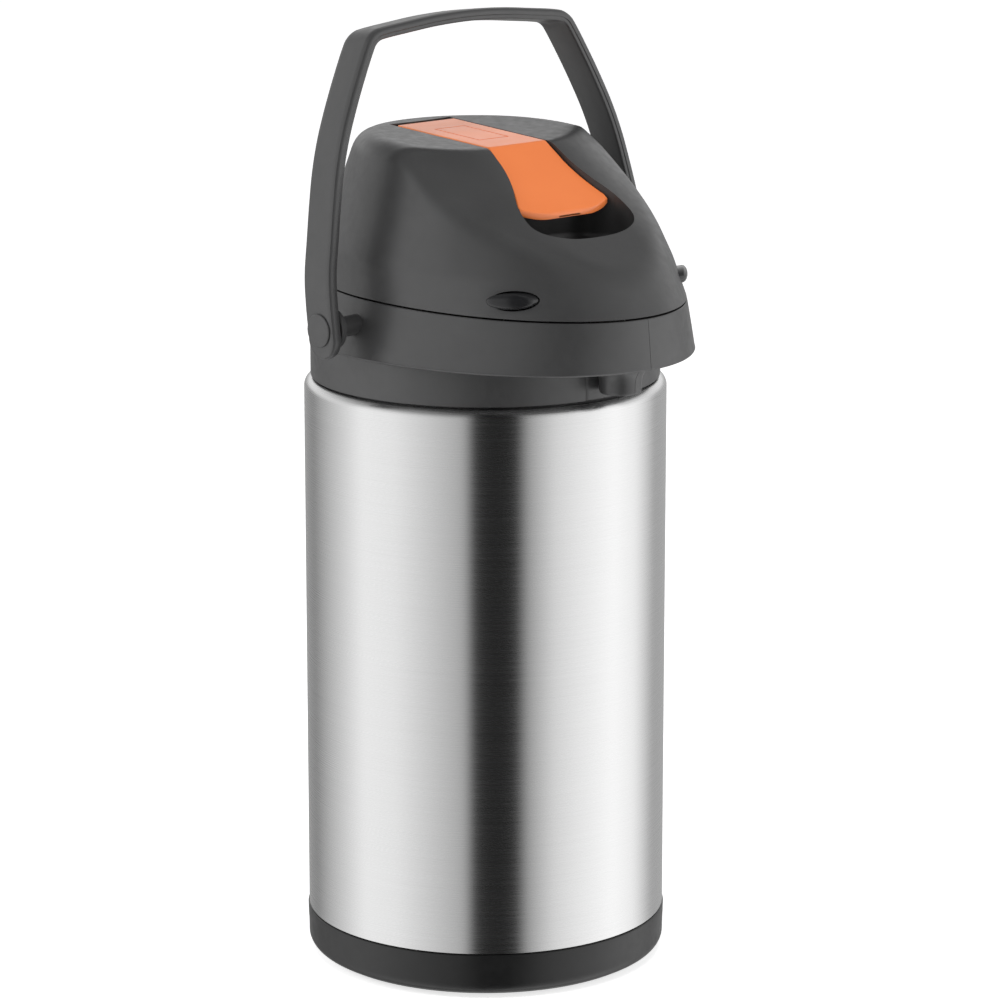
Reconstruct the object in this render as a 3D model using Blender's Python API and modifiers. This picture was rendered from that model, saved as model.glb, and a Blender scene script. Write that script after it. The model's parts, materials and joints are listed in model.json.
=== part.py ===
"""Lever airpot: a vacuum flask in a steel jacket, with a hinged pump lid and a carrying handle.

The origin is on the body's axis, on the surface that the airpot stands on. +Z is up and the
spout points along -Y. Sizes are given in millimetres and turned into metres when meshes are made.
"""
import math

import bmesh
import bpy
from mathutils import Matrix, Vector

MM = 0.001
GAP = 0.3            # clearance between pieces that touch

# Body
BODY_R = 83.0        # steel jacket
BASE_TOP = 20.95     # top edge of the base cup
BODY_TOP = 272.6     # top of the jacket's rounded shoulder
SHOULDER_R = 4.5
JACKET_WALL = 0.8
FOOT_R = 77.6        # where the base cup meets the table

# Vacuum flask
FLASK_R = 74.0
FLASK_BOTTOM = 28.0
NECK_R = 37.5
VACUUM_GAP = 5.0
FLASK_WALL = 1.2

# Collar
COLLAR_R = 80.0
COLLAR_BOTTOM = 273.4
BEAK_BOTTOM = 290.4
BEAK_A, BEAK_B = 80.5, 110.0       # half width and forward reach at the beak's lower edge
SEAM_A, SEAM_B, SEAM_C = 74.5, 107.0, 78.0   # half width, forward and rearward reach at the seam
SEAM_FRONT = 314.2   # height of the lid seam at the tip of the beak
SEAM_TILT = 0.030    # rise of the seam for each millimetre towards the back
SEAM_GAP = 0.9
COLLAR_WALL = 2.8
DECK_TOP = 304.0
DECK = 3.0
MOUTH_R = 41.0

# Lid
BAND_TOP = 330.0     # the side leans in above this height
SIDE_LEAN = 0.26     # inward slope of the sides above the band
FRONT_LEAN = 0.625   # inward slope of the front
CREASE_Y, CREASE_Z = -24.0, 380.4  # front edge of the flat top, on the centre line
APRON_SLOPE = math.radians(34.1)
APRON_FLAT, APRON_SWEEP = 20.0, 0.012   # half width of its flat middle, and how its sides curve back
TOP_DISH = 0.0007    # how the flat top rises to its sides
TOP_TILT = math.radians(3.0)
TOP_EDGE, APRON_EDGE = 9.0, 3.5    # how wide the soft edges along the sides are
LID_WALL = 2.6
RECESS_FLOOR = 336.4
RECESS_HALF, RECESS_Y, RECESS_FRONT = 30.6, -62.5, -75.5
LID_BASE_Z = 321.0
LID_BASE_T = 3.0
LID_SCREWS = [(50, 32), (-50, 32), (44, -40), (-44, -40)]

# Lever
LEVER_HALF = 17.4
LEVER_T = 3.2
RIB_X, RIB_T = 14.5, 2.0           # ribs under the lever
BARREL_R, LEVER_PIN_R = 4.0, 2.0
BADGE = (-9.2, -6.4, 9.2, 25.1)    # blank frame on the lever: x, y of two corners
BADGE_GROOVE, BADGE_DEPTH = 1.2, 0.5
LEVER_REAR = 41.5
LEVER_PIVOT = (38.5, 377.6)        # y, z
PADDLE_SLOPE = math.radians(36.6)
PADDLE_START = -21.6
PADDLE_TIP = -56.7
PADDLE_HALF = 27.1
SLOT_GAP = 0.8
SLOT_REAR = 3.3      # more room behind the lever, whose rear edge swings back

# Pump
PUMP_Y = 5.0
PUMP_R = 28.0
BELLOWS_TOP = 346.8
SPRING_R = 21.0
AIR_Y = 19.0         # air port between the pump and the flask

# Latch buttons
BUTTON_Y, BUTTON_Z = -75.0, 322.8
BUTTON_LENGTH, BUTTON_HEIGHT = 15.0, 6.6
BUTTON_OUT, BUTTON_IN = 64.0, 40.0
BUTTON_FACE = 54.6                 # how far the button stands out on its own centre line
WALL_TURN = math.radians(-36.6)    # bearing of the lid wall's outward normal at the button

# Spout
NOZZLE_Y = -90.0
NOZZLE_BOTTOM = 277.8
PIPE_R, PIPE_BORE = 4.5, 3.2
PIPE_Z = 311.0

# Lid hinge
HINGE_Y, HINGE_Z = 80.5, 319.8
HINGE_PIN_R = 2.0

# Handle
PIVOT_Y, PIVOT_Z = 0.5, 305.0
HANDLE_LEAN = math.radians(7.5)
HANDLE_WIDTH = 18.4
HANDLE_T = 5.4
HANDLE_END = 13.2    # how far the legs reach below the pivot
HANDLE_HALF = 97.5   # outer face at the pivot
BOSS_R, HUB_R = 9.0, 6.2           # flange that the handle leg runs on, and the hub behind it
BOSS_T = 2.8

ROUND = 40           # segments of the large turned pieces
MEDIUM = 24          # segments of the turned pieces inside
FINE = 16            # segments of the small turned pieces


# ---------------------------------------------------------------- scene and materials

for old in list(bpy.data.objects):
    bpy.data.objects.remove(old, do_unlink=True)


def collection(name):
    made = bpy.data.collections.new(name)
    bpy.context.scene.collection.children.link(made)
    return made


PARTS = collection("thermal_airpot")
CUTTERS = collection("cutters")


def material(name, colour, roughness, metallic=0.0):
    made = bpy.data.materials.new(name)
    made.use_nodes = True
    shader = made.node_tree.nodes["Principled BSDF"]
    shader.inputs["Base Color"].default_value = (*colour, 1.0)
    shader.inputs["Roughness"].default_value = roughness
    shader.inputs["Metallic"].default_value = metallic
    return made


BRUSHED = material("brushed_steel", (0.62, 0.62, 0.62), 0.32, 1.0)
BRIGHT = material("flask_steel", (0.72, 0.72, 0.72), 0.18, 1.0)
CHARCOAL = material("charcoal_plastic", (0.075, 0.075, 0.077), 0.55)
BLACK = material("black_plastic", (0.02, 0.02, 0.021), 0.5)
GLOSS = material("gloss_black_plastic", (0.015, 0.015, 0.016), 0.15)
ORANGE = material("orange_plastic", (0.80, 0.19, 0.035), 0.3)
RUBBER = material("black_rubber", (0.02, 0.02, 0.02), 0.85)
SILICONE = material("clear_silicone", (0.75, 0.75, 0.72), 0.5)
NATURAL = material("natural_plastic", (0.70, 0.70, 0.66), 0.45)


def add(name, mesh, surface, target=PARTS, smooth=True):
    """Make an object of a mesh, with one material."""
    made = bpy.data.objects.new(name, mesh)
    target.objects.link(made)
    if surface:
        mesh.materials.append(surface)
    if smooth:
        mesh.shade_smooth()
        mesh.set_sharp_from_angle(angle=math.radians(35))
    return made


def as_cutter(made):
    for owner in list(made.users_collection):
        owner.objects.unlink(made)
    CUTTERS.objects.link(made)
    made.hide_render = True
    made.display_type = "WIRE"
    return made


def boolean(body, tool, operation):
    modifier = body.modifiers.new(operation.lower(), "BOOLEAN")
    modifier.operation = operation
    modifier.solver = "EXACT"
    modifier.object = as_cutter(tool)
    return body


def cut(body, *tools):
    for tool in tools:
        boolean(body, tool, "DIFFERENCE")
    return body


def join(body, *tools):
    for tool in tools:
        boolean(body, tool, "UNION")
    return body


# ---------------------------------------------------------------- shape helpers (millimetres)

def box(name, low, high, surface=None, round_edge=0.0):
    """A box between two corners, with its edges rounded if asked."""
    mesh = bpy.data.meshes.new(name)
    form = bmesh.new()
    bmesh.ops.create_cube(form, size=1.0)
    size = [(high[i] - low[i]) * MM for i in range(3)]
    centre = [(high[i] + low[i]) * MM / 2 for i in range(3)]
    bmesh.ops.scale(form, vec=size, verts=form.verts)
    form.to_mesh(mesh)
    form.free()
    made = add(name, mesh, surface, smooth=False)
    made.location = centre
    if round_edge:
        bevel = made.modifiers.new("edges", "BEVEL")
        bevel.width = round_edge * MM
        bevel.segments = 2
    return made


def cylinder(name, radius, start, end, surface=None, segments=FINE, end_radius=None):
    """A cylinder, or a cone, between two points."""
    mesh = bpy.data.meshes.new(name)
    form = bmesh.new()
    along = (Vector(end) - Vector(start)) * MM
    bmesh.ops.create_cone(form, cap_ends=True, segments=segments, radius1=radius * MM,
                          radius2=(end_radius or radius) * MM, depth=along.length)
    form.to_mesh(mesh)
    form.free()
    made = add(name, mesh, surface)
    made.location = (Vector(start) + Vector(end)) * MM / 2
    made.rotation_euler = along.to_track_quat("Z", "Y").to_euler()
    return made


def turned(name, profile, surface=None, closed=True, segments=ROUND, at=(0.0, 0.0)):
    """Turn a profile of (radius, height) points about a vertical axis.

    A closed profile gives a ring; an open one starts and ends on the axis. Both run down the
    outer side from top to bottom.
    """
    mesh = bpy.data.meshes.new(name)
    points = [(r * MM, 0.0, z * MM) for r, z in profile]
    edges = [(i, i + 1) for i in range(len(points) - 1)]
    if closed:
        edges.append((len(points) - 1, 0))
    mesh.from_pydata(points, edges, [])
    made = add(name, mesh, surface, smooth=False)
    made.location = (at[0] * MM, at[1] * MM, 0.0)
    screw = made.modifiers.new("turn", "SCREW")
    screw.axis = "Z"
    screw.angle = math.tau
    screw.steps = screw.render_steps = segments
    screw.use_merge_vertices = True
    screw.merge_threshold = 0.00001
    screw.use_smooth_shade = True
    return made


def ring(name, inner, outer, low, high, surface=None, segments=ROUND, at=(0.0, 0.0)):
    profile = [(outer, high), (outer, low), (inner, low), (inner, high)]
    return turned(name, profile, surface, segments=segments, at=at)


def arc(centre, radius, start, end, steps):
    """Points on an arc, with angles in degrees."""
    points = []
    for i in range(steps + 1):
        angle = math.radians(start + (end - start) * i / steps)
        points.append((centre[0] + radius * math.cos(angle), centre[1] + radius * math.sin(angle)))
    return points


def inside(profile, wall):
    """The same open profile moved to the left of its direction by a wall thickness."""
    moved = []
    for i, (r, z) in enumerate(profile):
        before = profile[max(i - 1, 0)]
        after = profile[min(i + 1, len(profile) - 1)]
        step = Vector((after[0] - before[0], after[1] - before[1])).normalized()
        moved.append((max(r + step.y * wall, 0.0), z - step.x * wall))
    return moved


def loft(name, rings, surface=None, cap_start=True, cap_end=True, loop=False):
    """Skin a list of rings that have the same number of points."""
    form = bmesh.new()
    rows = [[form.verts.new([value * MM for value in point]) for point in row] for row in rings]
    count = len(rows[0])
    pairs = list(zip(rows, rows[1:]))
    if loop:
        pairs.append((rows[-1], rows[0]))
    for lower, upper in pairs:
        for i in range(count):
            j = (i + 1) % count
            form.faces.new((lower[i], lower[j], upper[j], upper[i]))
    if not loop and cap_start:
        form.faces.new(list(reversed(rows[0])))
    if not loop and cap_end:
        form.faces.new(rows[-1])
    bmesh.ops.recalc_face_normals(form, faces=form.faces)
    mesh = bpy.data.meshes.new(name)
    form.to_mesh(mesh)
    form.free()
    return add(name, mesh, surface)


def outline(name, points, depth, surface=None):
    """A flat outline in the XY plane, filled and given a thickness about its middle."""
    curve = bpy.data.curves.new(name, "CURVE")
    curve.dimensions = "2D"
    curve.fill_mode = "BOTH"
    curve.extrude = depth * MM / 2
    spline = curve.splines.new("POLY")
    spline.points.add(len(points) - 1)
    for place, (x, y) in zip(spline.points, points):
        place.co = (x * MM, y * MM, 0.0, 1.0)
    spline.use_cyclic_u = True
    return solid_of_curve(name, curve, surface)


def tube(name, points, radius, surface=None, resolution=3, cyclic=False):
    """A round bar along a list of points."""
    curve = bpy.data.curves.new(name, "CURVE")
    curve.dimensions = "3D"
    curve.bevel_depth = radius * MM
    curve.bevel_resolution = resolution
    curve.use_fill_caps = not cyclic
    spline = curve.splines.new("POLY")
    spline.points.add(len(points) - 1)
    for place, point in zip(spline.points, points):
        place.co = (*(value * MM for value in point), 1.0)
    spline.use_cyclic_u = cyclic
    return solid_of_curve(name, curve, surface)


def solid_of_curve(name, curve, surface):
    """Turn a curve into a closed mesh object."""
    source = bpy.data.objects.new(name + "_curve", curve)
    bpy.context.scene.collection.objects.link(source)
    graph = bpy.context.evaluated_depsgraph_get()
    mesh = bpy.data.meshes.new_from_object(source.evaluated_get(graph))
    bpy.data.objects.remove(source, do_unlink=True)
    form = bmesh.new()
    form.from_mesh(mesh)
    bmesh.ops.remove_doubles(form, verts=form.verts, dist=0.00001)
    bmesh.ops.recalc_face_normals(form, faces=form.faces)
    form.to_mesh(mesh)
    form.free()
    mesh.materials.clear()
    mesh.name = name
    return add(name, mesh, surface)


# ---------------------------------------------------------------- plan curves of collar and lid

def plan_point(angle, half_width, forward, rearward):
    """A point of the plan: half an ellipse in front of the axis and half of one behind it."""
    reach = forward if math.sin(angle) < 0 else rearward
    return half_width * math.cos(angle), reach * math.sin(angle)


def plan_ring(height, half_width, forward, rearward, count=ROUND, tilt=0.0):
    """A closed plan curve at a height, which may rise towards the back."""
    points = []
    for i in range(count):
        x, y = plan_point(math.tau * i / count, half_width, forward, rearward)
        points.append((x, y, height + tilt * (y + SEAM_B)))
    return points


def lid_reaches(height):
    """Half width, forward reach and rearward reach of the lid's side wall at a height."""
    above = max(height - SEAM_FRONT, 0.0)
    lean = 0.5 * (math.hypot(height - BAND_TOP, 3.0) + height - BAND_TOP) * SIDE_LEAN
    return (SEAM_A - 0.08 * above - lean, SEAM_B - FRONT_LEAN * above,
            SEAM_C - 0.08 * above - lean)


def blend(a, b, radius):
    """The larger of two distances, rounded where they are close to each other."""
    near = max(radius - abs(a - b), 0.0) / radius
    return max(a, b) + near * near * radius / 4


def lid_distance(x, y, height):
    """Roughly how far a point lies outside the lid's skin; height is above the tilted seam."""
    half_width, forward, rearward = lid_reaches(height)
    reach = forward if y < 0 else rearward
    ratio = math.hypot(x / half_width, y / reach)
    if ratio < 0.05:
        side = -half_width
    else:
        slope = math.hypot(x / half_width ** 2, y / reach ** 2) / ratio
        side = (ratio - 1) / slope
    level = height + seam_rise(y)
    middle = CREASE_Y - (CREASE_Z - level) / math.tan(APRON_SLOPE)
    sweep = APRON_SWEEP * max(abs(x) - APRON_FLAT, 0.0) ** 2
    apron = (middle + sweep - y) * math.sin(APRON_SLOPE)
    top = level - CREASE_Z - (y - CREASE_Y) * math.tan(TOP_TILT) - TOP_DISH * x * x
    on_apron = min(max((apron - top + 2.0) / 10.0, 0.0), 1.0)
    return blend(blend(apron, top, 1.6), side, TOP_EDGE + (APRON_EDGE - TOP_EDGE) * on_apron)


def lid_skin_point(bearing, elevation, inset):
    """Where a ray from the middle of the seam meets the lid's skin, moved in by a thickness."""
    direction = Vector((math.cos(bearing) * math.cos(elevation),
                        math.sin(bearing) * math.cos(elevation), math.sin(elevation)))
    near, far = 5.0, 160.0
    for _ in range(30):
        middle = (near + far) / 2
        x, y, up = direction * middle
        if lid_distance(x, y, SEAM_FRONT + up) < -inset:
            near = middle
        else:
            far = middle
    x, y, up = direction * near
    return x, y, SEAM_FRONT + up + seam_rise(y)


def seam_rise(y):
    return SEAM_TILT * (y + SEAM_B)


SKIN_ELEVATIONS = [0, 4, 9, 14, 19, 25, 31, 37, 43, 49, 55, 64, 77]
INSIDE_ELEVATIONS = [0, 8, 17, 27, 37, 46, 54, 70]


def lid_rings(inset, columns, elevations):
    """Rings of the lid's skin from the seam upwards."""
    rings = []
    for degrees in elevations:
        row = []
        for i in range(columns):
            bearing = math.tau * i / columns
            row.append(lid_skin_point(bearing, math.radians(degrees), inset))
        rings.append(row)
    return rings


def lid_form(name, inset, columns, elevations, surface=None, skirt=0.0):
    """The lid as a solid, standing a skirt's depth below the seam."""
    rings = lid_rings(inset, columns, elevations)
    if skirt:
        rings.insert(0, [(x, y, z - skirt) for x, y, z in rings[0]])
    form = loft(name, rings, surface, cap_end=False)
    top = lid_skin_point(0.0, math.radians(90), inset)
    return cap_with_point(form, rings[-1], top)


def cap_with_point(made, last_ring, point):
    """Close a loft's open end with a fan to a point."""
    form = bmesh.new()
    form.from_mesh(made.data)
    form.verts.ensure_lookup_table()
    count = len(last_ring)
    rim = form.verts[len(form.verts) - count:]
    tip = form.verts.new([value * MM for value in point])
    for i in range(count):
        form.faces.new((rim[i], rim[(i + 1) % count], tip))
    bmesh.ops.recalc_face_normals(form, faces=form.faces)
    form.to_mesh(made.data)
    form.free()
    return made


# ---------------------------------------------------------------- body

def make_outer_shell():
    low = BASE_TOP + GAP
    turn = (BODY_R - SHOULDER_R, BODY_TOP - SHOULDER_R)
    outer = [(BODY_R - SHOULDER_R - 1.5, BODY_TOP)] + arc(turn, SHOULDER_R, 90, 0, 3)
    outer.append((BODY_R, low))
    inner = [(BODY_R - JACKET_WALL, low)]
    inner += arc(turn, SHOULDER_R - JACKET_WALL, 0, 90, 3)
    inner.append((BODY_R - SHOULDER_R - 1.5, BODY_TOP - JACKET_WALL))
    turned("outer_shell", outer + inner, BRUSHED)


def make_base_cup():
    rim_r = BODY_R + 0.5
    outer = [(rim_r - 1.0, BASE_TOP), (rim_r, BASE_TOP - 0.6), (rim_r - 0.3, 12.0)]
    outer += arc((rim_r - 6.0, 7.2), 5.4, 0, -70, 3)
    outer += [(FOOT_R, 0.8), (71.0, 0.8), (71.0, 3.4), (56.0, 3.4), (56.0, 6.5)]
    inner = [(78.0, 6.5), (80.0, 9.0), (80.0, 27.0), (BODY_R - JACKET_WALL - GAP, 27.0),
             (BODY_R - JACKET_WALL - GAP, BASE_TOP)]
    cup = turned("base_cup", outer + inner, BLACK)
    for index in range(3):
        x, y = base_screw_place(index)
        cut(cup, cylinder("base_screw_hole_%d" % (index + 1), 2.3, (x, y, 2.0), (x, y, 8.0),
                      segments=12))


def base_screw_place(index):
    angle = math.radians(90 + 120 * index)
    return 63.0 * math.cos(angle), 63.0 * math.sin(angle)


def make_base_screws():
    """Screws that hold the base cup to the cushion carrier, under the foot pad."""
    for index in range(3):
        x, y = base_screw_place(index)
        profile = [(0.0, 3.1), (4.0, 3.1), (4.0, 2.0), (0.0, 2.0)]
        shank = [(0.0, 12.0), (2.0, 12.0), (2.0, 3.1)]
        turned("base_screw_%d" % (index + 1), shank + profile[1:], BRIGHT, closed=False,
               segments=12, at=(x, y))


def make_foot_pad():
    profile = [(0.0, 1.7), (69.6, 1.7), (70.5, 1.0), (70.5, 0.4), (70.0, 0.0), (0.0, 0.0)]
    turned("foot_pad", profile, RUBBER, closed=False)


def flask_profile():
    """Outer side of the flask's outer wall, from its neck down to the middle of its base."""
    points = [(NECK_R, 303.0), (NECK_R, 284.0)]
    points += arc((NECK_R + 7.0, 284.0), 7.0, 180, 225, 2)
    points += arc((FLASK_R - 24.0, 243.0), 24.0, 50, 0, 3)
    points += arc((FLASK_R - 12.0, FLASK_BOTTOM + 12.0), 12.0, 0, -90, 3)
    points += [(20.0, FLASK_BOTTOM + 3.0), (0.0, FLASK_BOTTOM + 3.0)]
    return points


def make_flask():
    outer = flask_profile()
    within = inside(outer, FLASK_WALL)
    within[-1] = (0.0, within[-1][1])
    turned("flask_outer_wall", within[::-1] + outer, BRIGHT, closed=False, segments=MEDIUM)
    liner = inside(outer, VACUUM_GAP)
    bore = inside(outer, VACUUM_GAP + FLASK_WALL)
    lip = [(NECK_R - 5.5, 305.0), (NECK_R + 0.3, 305.0), (NECK_R + 0.6, 304.4),
           (NECK_R + 0.3, 303.3), (liner[0][0], 303.3)]
    bore[-1] = (0.0, bore[-1][1])
    liner[-1] = (0.0, liner[-1][1])
    turned("flask_liner", bore[::-1][:-1] + lip + liner[1:], BRIGHT, closed=False, segments=MEDIUM)
    cover = [(0.0, 30.6), (10.0, 30.6), (10.0, 29.0), (8.5, 27.6), (0.0, 27.6)]
    turned("getter_cap", cover, BLACK, closed=False, segments=FINE)


def make_bottom_cushion():
    profile = [(72.0, 31.8), (72.0, 14.0), (68.0, 12.3), (52.0, 12.3), (52.0, 26.6),
               (60.0, 26.9), (66.0, 27.8)]
    cushion = turned("bottom_cushion", profile, RUBBER, segments=MEDIUM)
    for index in range(3):
        x, y = base_screw_place(index)
        cut(cushion, cylinder("cushion_hole_%d" % (index + 1), 2.4, (x, y, 10.0), (x, y, 18.0),
                          segments=12))


# ---------------------------------------------------------------- collar and spout

def beak_ring(height, inset, count=ROUND):
    """The collar's plan at a height between the beak's lower edge and the seam, moved in."""
    share = (height - BEAK_BOTTOM) / (SEAM_FRONT - BEAK_BOTTOM)
    half_width = BEAK_A + (SEAM_A - BEAK_A) * share - inset
    forward = BEAK_B + (SEAM_B + 0.4 - BEAK_B) * share - inset
    rearward = COLLAR_R + (SEAM_C - COLLAR_R) * share - inset
    return half_width, forward, rearward


def collar_form(name, low, inset, high_extra, surface=None):
    """The upper part of the collar as a solid between a level and the tilted seam."""
    edge = 1.4 if inset == 0 else 0.0
    rings = []
    if edge:
        for degrees in (0, 30, 60):
            shrink = edge * (1 - math.sin(math.radians(degrees)))
            lift = edge * (1 - math.cos(math.radians(degrees)))
            rings.append(plan_ring(low + lift, *(v - shrink for v in beak_ring(low, inset))))
    rings.append(plan_ring(low + edge, *beak_ring(low + edge, inset)))
    rings.append(plan_ring(302.0, *beak_ring(302.0, inset), tilt=SEAM_TILT / 2))
    rings.append(plan_ring(SEAM_FRONT - SEAM_GAP + high_extra, *beak_ring(SEAM_FRONT, inset),
                           tilt=SEAM_TILT))
    return loft(name, rings, surface)


def make_collar():
    body = collar_form("collar", BEAK_BOTTOM, 0.0, 0.0, CHARCOAL)
    lower = [(0.0, 292.0), (COLLAR_R, 292.0), (COLLAR_R, COLLAR_BOTTOM + 0.5),
             (COLLAR_R - 0.5, COLLAR_BOTTOM), (77.0, COLLAR_BOTTOM), (77.0, 266.0),
             (0.0, 266.0)]
    join(body, turned("lower_ring", lower, closed=False))
    for side in (-1, 1):
        flange = HANDLE_HALF - HANDLE_T - 0.8
        join(body, cylinder("hub_%s" % side_name(side), HUB_R, (side * 70.0, PIVOT_Y, PIVOT_Z),
                            (side * (flange - 1.0), PIVOT_Y, PIVOT_Z), segments=20))
        join(body, cylinder("boss_%s" % side_name(side), BOSS_R,
                            (side * (flange - BOSS_T), PIVOT_Y, PIVOT_Z),
                            (side * flange, PIVOT_Y, PIVOT_Z), segments=24))
        join(body, cylinder("hinge_lug_%s" % side_name(side), 4.6,
                            (side * 12.4, HINGE_Y, HINGE_Z), (side * 22.0, HINGE_Y, HINGE_Z), segments=20))
        join(body, box("hinge_web_%s" % side_name(side), *lug_web(side)))
    cut(body, collar_form("basin", DECK_TOP, COLLAR_WALL, 12.0))
    under = [(0.0, DECK_TOP - DECK), (74.0, DECK_TOP - DECK), (74.0, 260.0), (0.0, 260.0)]
    cut(body, turned("neck_space", under, closed=False))
    channel = [(-26.0, -40.0), (26.0, -40.0), (26.0, -84.0)]
    channel += [(26.0 * math.cos(a), -84.0 - 16.0 * math.sin(a))
                for a in (math.pi * i / 12 for i in range(1, 12))]
    channel.append((-26.0, -84.0))
    space = outline("beak_space", channel, DECK_TOP - DECK - BEAK_BOTTOM - 3.0)
    space.location.z = (BEAK_BOTTOM + 3.0 + DECK_TOP - DECK) / 2 * MM
    cut(body, space)
    cut(body, cylinder("mouth", MOUTH_R, (0, 0, 295.0), (0, 0, 310.0), segments=32))
    cut(body, cylinder("nozzle_hole", 7.6, (0, NOZZLE_Y, 285.0), (0, NOZZLE_Y, 297.0)))
    cut(body, cylinder("pipe_hole", 6.4, (0, NOZZLE_Y, 298.0), (0, NOZZLE_Y, 308.0)))
    cut(body, box("panel_opening", (-10.8, -90.0, 272.9), (10.8, -76.6, BEAK_BOTTOM - 0.4)))
    for side in (-1, 1):
        cut(body, cylinder("pin_bore_%s" % side_name(side), 3.3, (side * 80.0, PIVOT_Y, PIVOT_Z),
                           (side * 100.0, PIVOT_Y, PIVOT_Z)))
    cut(body, cylinder("hinge_bore", HINGE_PIN_R + GAP, (-20.5, HINGE_Y, HINGE_Z),
                       (30.0, HINGE_Y, HINGE_Z), segments=16))
    cut(body, cylinder("knuckle_space", 5.4, (-12.0, HINGE_Y, HINGE_Z), (12.0, HINGE_Y, HINGE_Z),
                       segments=20))
    return body


def lug_web(side):
    low = (min(side * 12.4, side * 22.0), 74.0, HINGE_Z - 9.0)
    high = (max(side * 12.4, side * 22.0), HINGE_Y, HINGE_Z - 1.5)
    return low, high


def side_name(side):
    return "left" if side < 0 else "right"


def make_spout():
    panel = ring("spout_panel", 78.0, COLLAR_R - 0.05, COLLAR_BOTTOM + 0.2, BEAK_BOTTOM - 0.9,
                 CHARCOAL, segments=ROUND)
    boolean(panel, box("panel_limits", (-10.5, -90.0, 270.0), (10.5, -60.0, 295.0)), "INTERSECT")
    top = BEAK_BOTTOM - GAP
    outer = [(9.4, 296.4), (9.4, 294.0), (7.3, 294.0), (7.3, top), (13.0, top),
             (12.2, top - 1.2), (10.9, top - 3.0), (10.0, top - 5.6), (9.5, NOZZLE_BOTTOM + 1.0),
             (8.8, NOZZLE_BOTTOM)]
    bore = [(6.2, NOZZLE_BOTTOM), (5.4, 284.0), (5.4, 296.4)]
    nozzle = turned("spout_nozzle", outer + bore, CHARCOAL, at=(0.0, NOZZLE_Y), segments=FINE)
    cut(nozzle, cylinder("ring_clearance", COLLAR_R + 0.4, (0, 0, 270.0), (0, 0, BEAK_BOTTOM - 0.1),
                         segments=80))


def make_tubes():
    ring("dip_tube", PIPE_BORE, PIPE_R, 44.0, 306.4, NATURAL, segments=20)
    profile = [(0.0, 315.6), (8.0, 315.6), (8.0, 309.0), (37.6, 309.0), (38.4, 308.2),
               (38.4, 306.1), (37.6, 305.3), (31.0, 305.3), (30.0, 296.0), (0.0, 296.0)]
    head = turned("tube_head", profile, NATURAL, closed=False, segments=MEDIUM)
    join(head, cylinder("air_seat", 9.0, (0, AIR_Y, 300.0), (0, AIR_Y, 315.6)))
    cut(head, cylinder("air_port", 3.6, (0, AIR_Y, 290.0), (0, AIR_Y, 320.0), segments=16))
    cut(head, cylinder("tube_socket", PIPE_R + GAP, (0, 0, 290.0), (0, 0, 306.7), segments=16))
    cut(head, cylinder("riser", PIPE_BORE, (0, 0, 300.0), (0, 0, PIPE_Z), segments=12))
    cut(head, cylinder("pipe_socket", PIPE_R + GAP, (0, -4.0, PIPE_Z), (0, -45.0, PIPE_Z),
                       segments=16))
    cut(head, cylinder("riser_turn", PIPE_BORE, (0, 1.5, PIPE_Z), (0, -8.0, PIPE_Z), segments=12))
    path = [(0.0, -4.4, PIPE_Z), (0.0, -20.0, PIPE_Z), (0.0, NOZZLE_Y + 10.0, PIPE_Z)]
    path += [(0.0, NOZZLE_Y + 10.0 - 10.0 * math.sin(a), PIPE_Z - 10.0 + 10.0 * math.cos(a))
             for a in (math.pi / 2 * i / 6 for i in range(1, 7))]
    path.append((0.0, NOZZLE_Y, 286.0))
    pipe = tube("outlet_pipe", path, PIPE_R, NATURAL)
    longer = [(0.0, -2.0, PIPE_Z)] + path[1:-1] + [(0.0, NOZZLE_Y, 282.0)]
    cut(pipe, tube("outlet_bore", longer, PIPE_BORE))


def make_neck_parts():
    ring("neck_ring", NECK_R + 0.9, 54.0, 287.0, DECK_TOP - DECK - GAP, BLACK, segments=MEDIUM)
    profile = [(50.0, 286.7), (50.0, 279.0), (45.5, 282.6), (NECK_R + 4.0, 286.7)]
    turned("neck_gasket", profile, SILICONE, segments=MEDIUM)


# ---------------------------------------------------------------- lid

def recess_outline(grow=0.0):
    """Plan of the finger hollow: a wide bow in front of the paddle, narrower under it."""
    half = []
    for i in range(9):
        angle = math.pi / 2 * i / 8
        half.append(((RECESS_HALF + grow) * math.sin(angle) ** 0.8,
                     RECESS_Y - (RECESS_Y - RECESS_FRONT + grow) * math.cos(angle) ** 0.9))
    half += [(29.9 + grow, -57.5), (27.8 + grow, -52.0), (24.0 + grow, -46.0),
             (21.0 + grow, -41.0), (14.0 + grow, -37.0 + grow), (4.7, -35.6 + grow)]
    return half + [(-x, y) for x, y in half[:0:-1]]


def lever_half_width(y):
    """Half width of the lever's outline at a distance along it."""
    if y > -30.0:
        return LEVER_HALF + (1.0 if y < PADDLE_START else 0.0) * (PADDLE_START - y) / 8.4
    share = (-30.0 - y) / (-30.0 - (-52.5))
    return 18.4 + (PADDLE_HALF - 18.4) * min(share, 1.0) ** 1.7


def lever_outline(grow=0.0):
    """Plan of the lever and its paddle, anticlockwise from the rear right corner."""
    right = [LEVER_REAR, 20.0, 0.0, PADDLE_START, -26.0, -30.0, -34.0, -38.0, -42.0, -46.0,
             -50.0, -52.5]
    half = [(lever_half_width(y) + grow, y) for y in right]
    half[0] = (half[0][0], LEVER_REAR + grow)
    tip = []
    for i in range(1, 12):
        x = PADDLE_HALF * (1 - 2 * i / 12)
        bow = 1 - abs(x / PADDLE_HALF) ** 2.4
        tip.append((x * (PADDLE_HALF + grow) / PADDLE_HALF,
                    -52.5 - grow + (PADDLE_TIP + 52.5) * bow))
    left = [(-x, y) for x, y in reversed(half)]
    return half + tip + left


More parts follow.
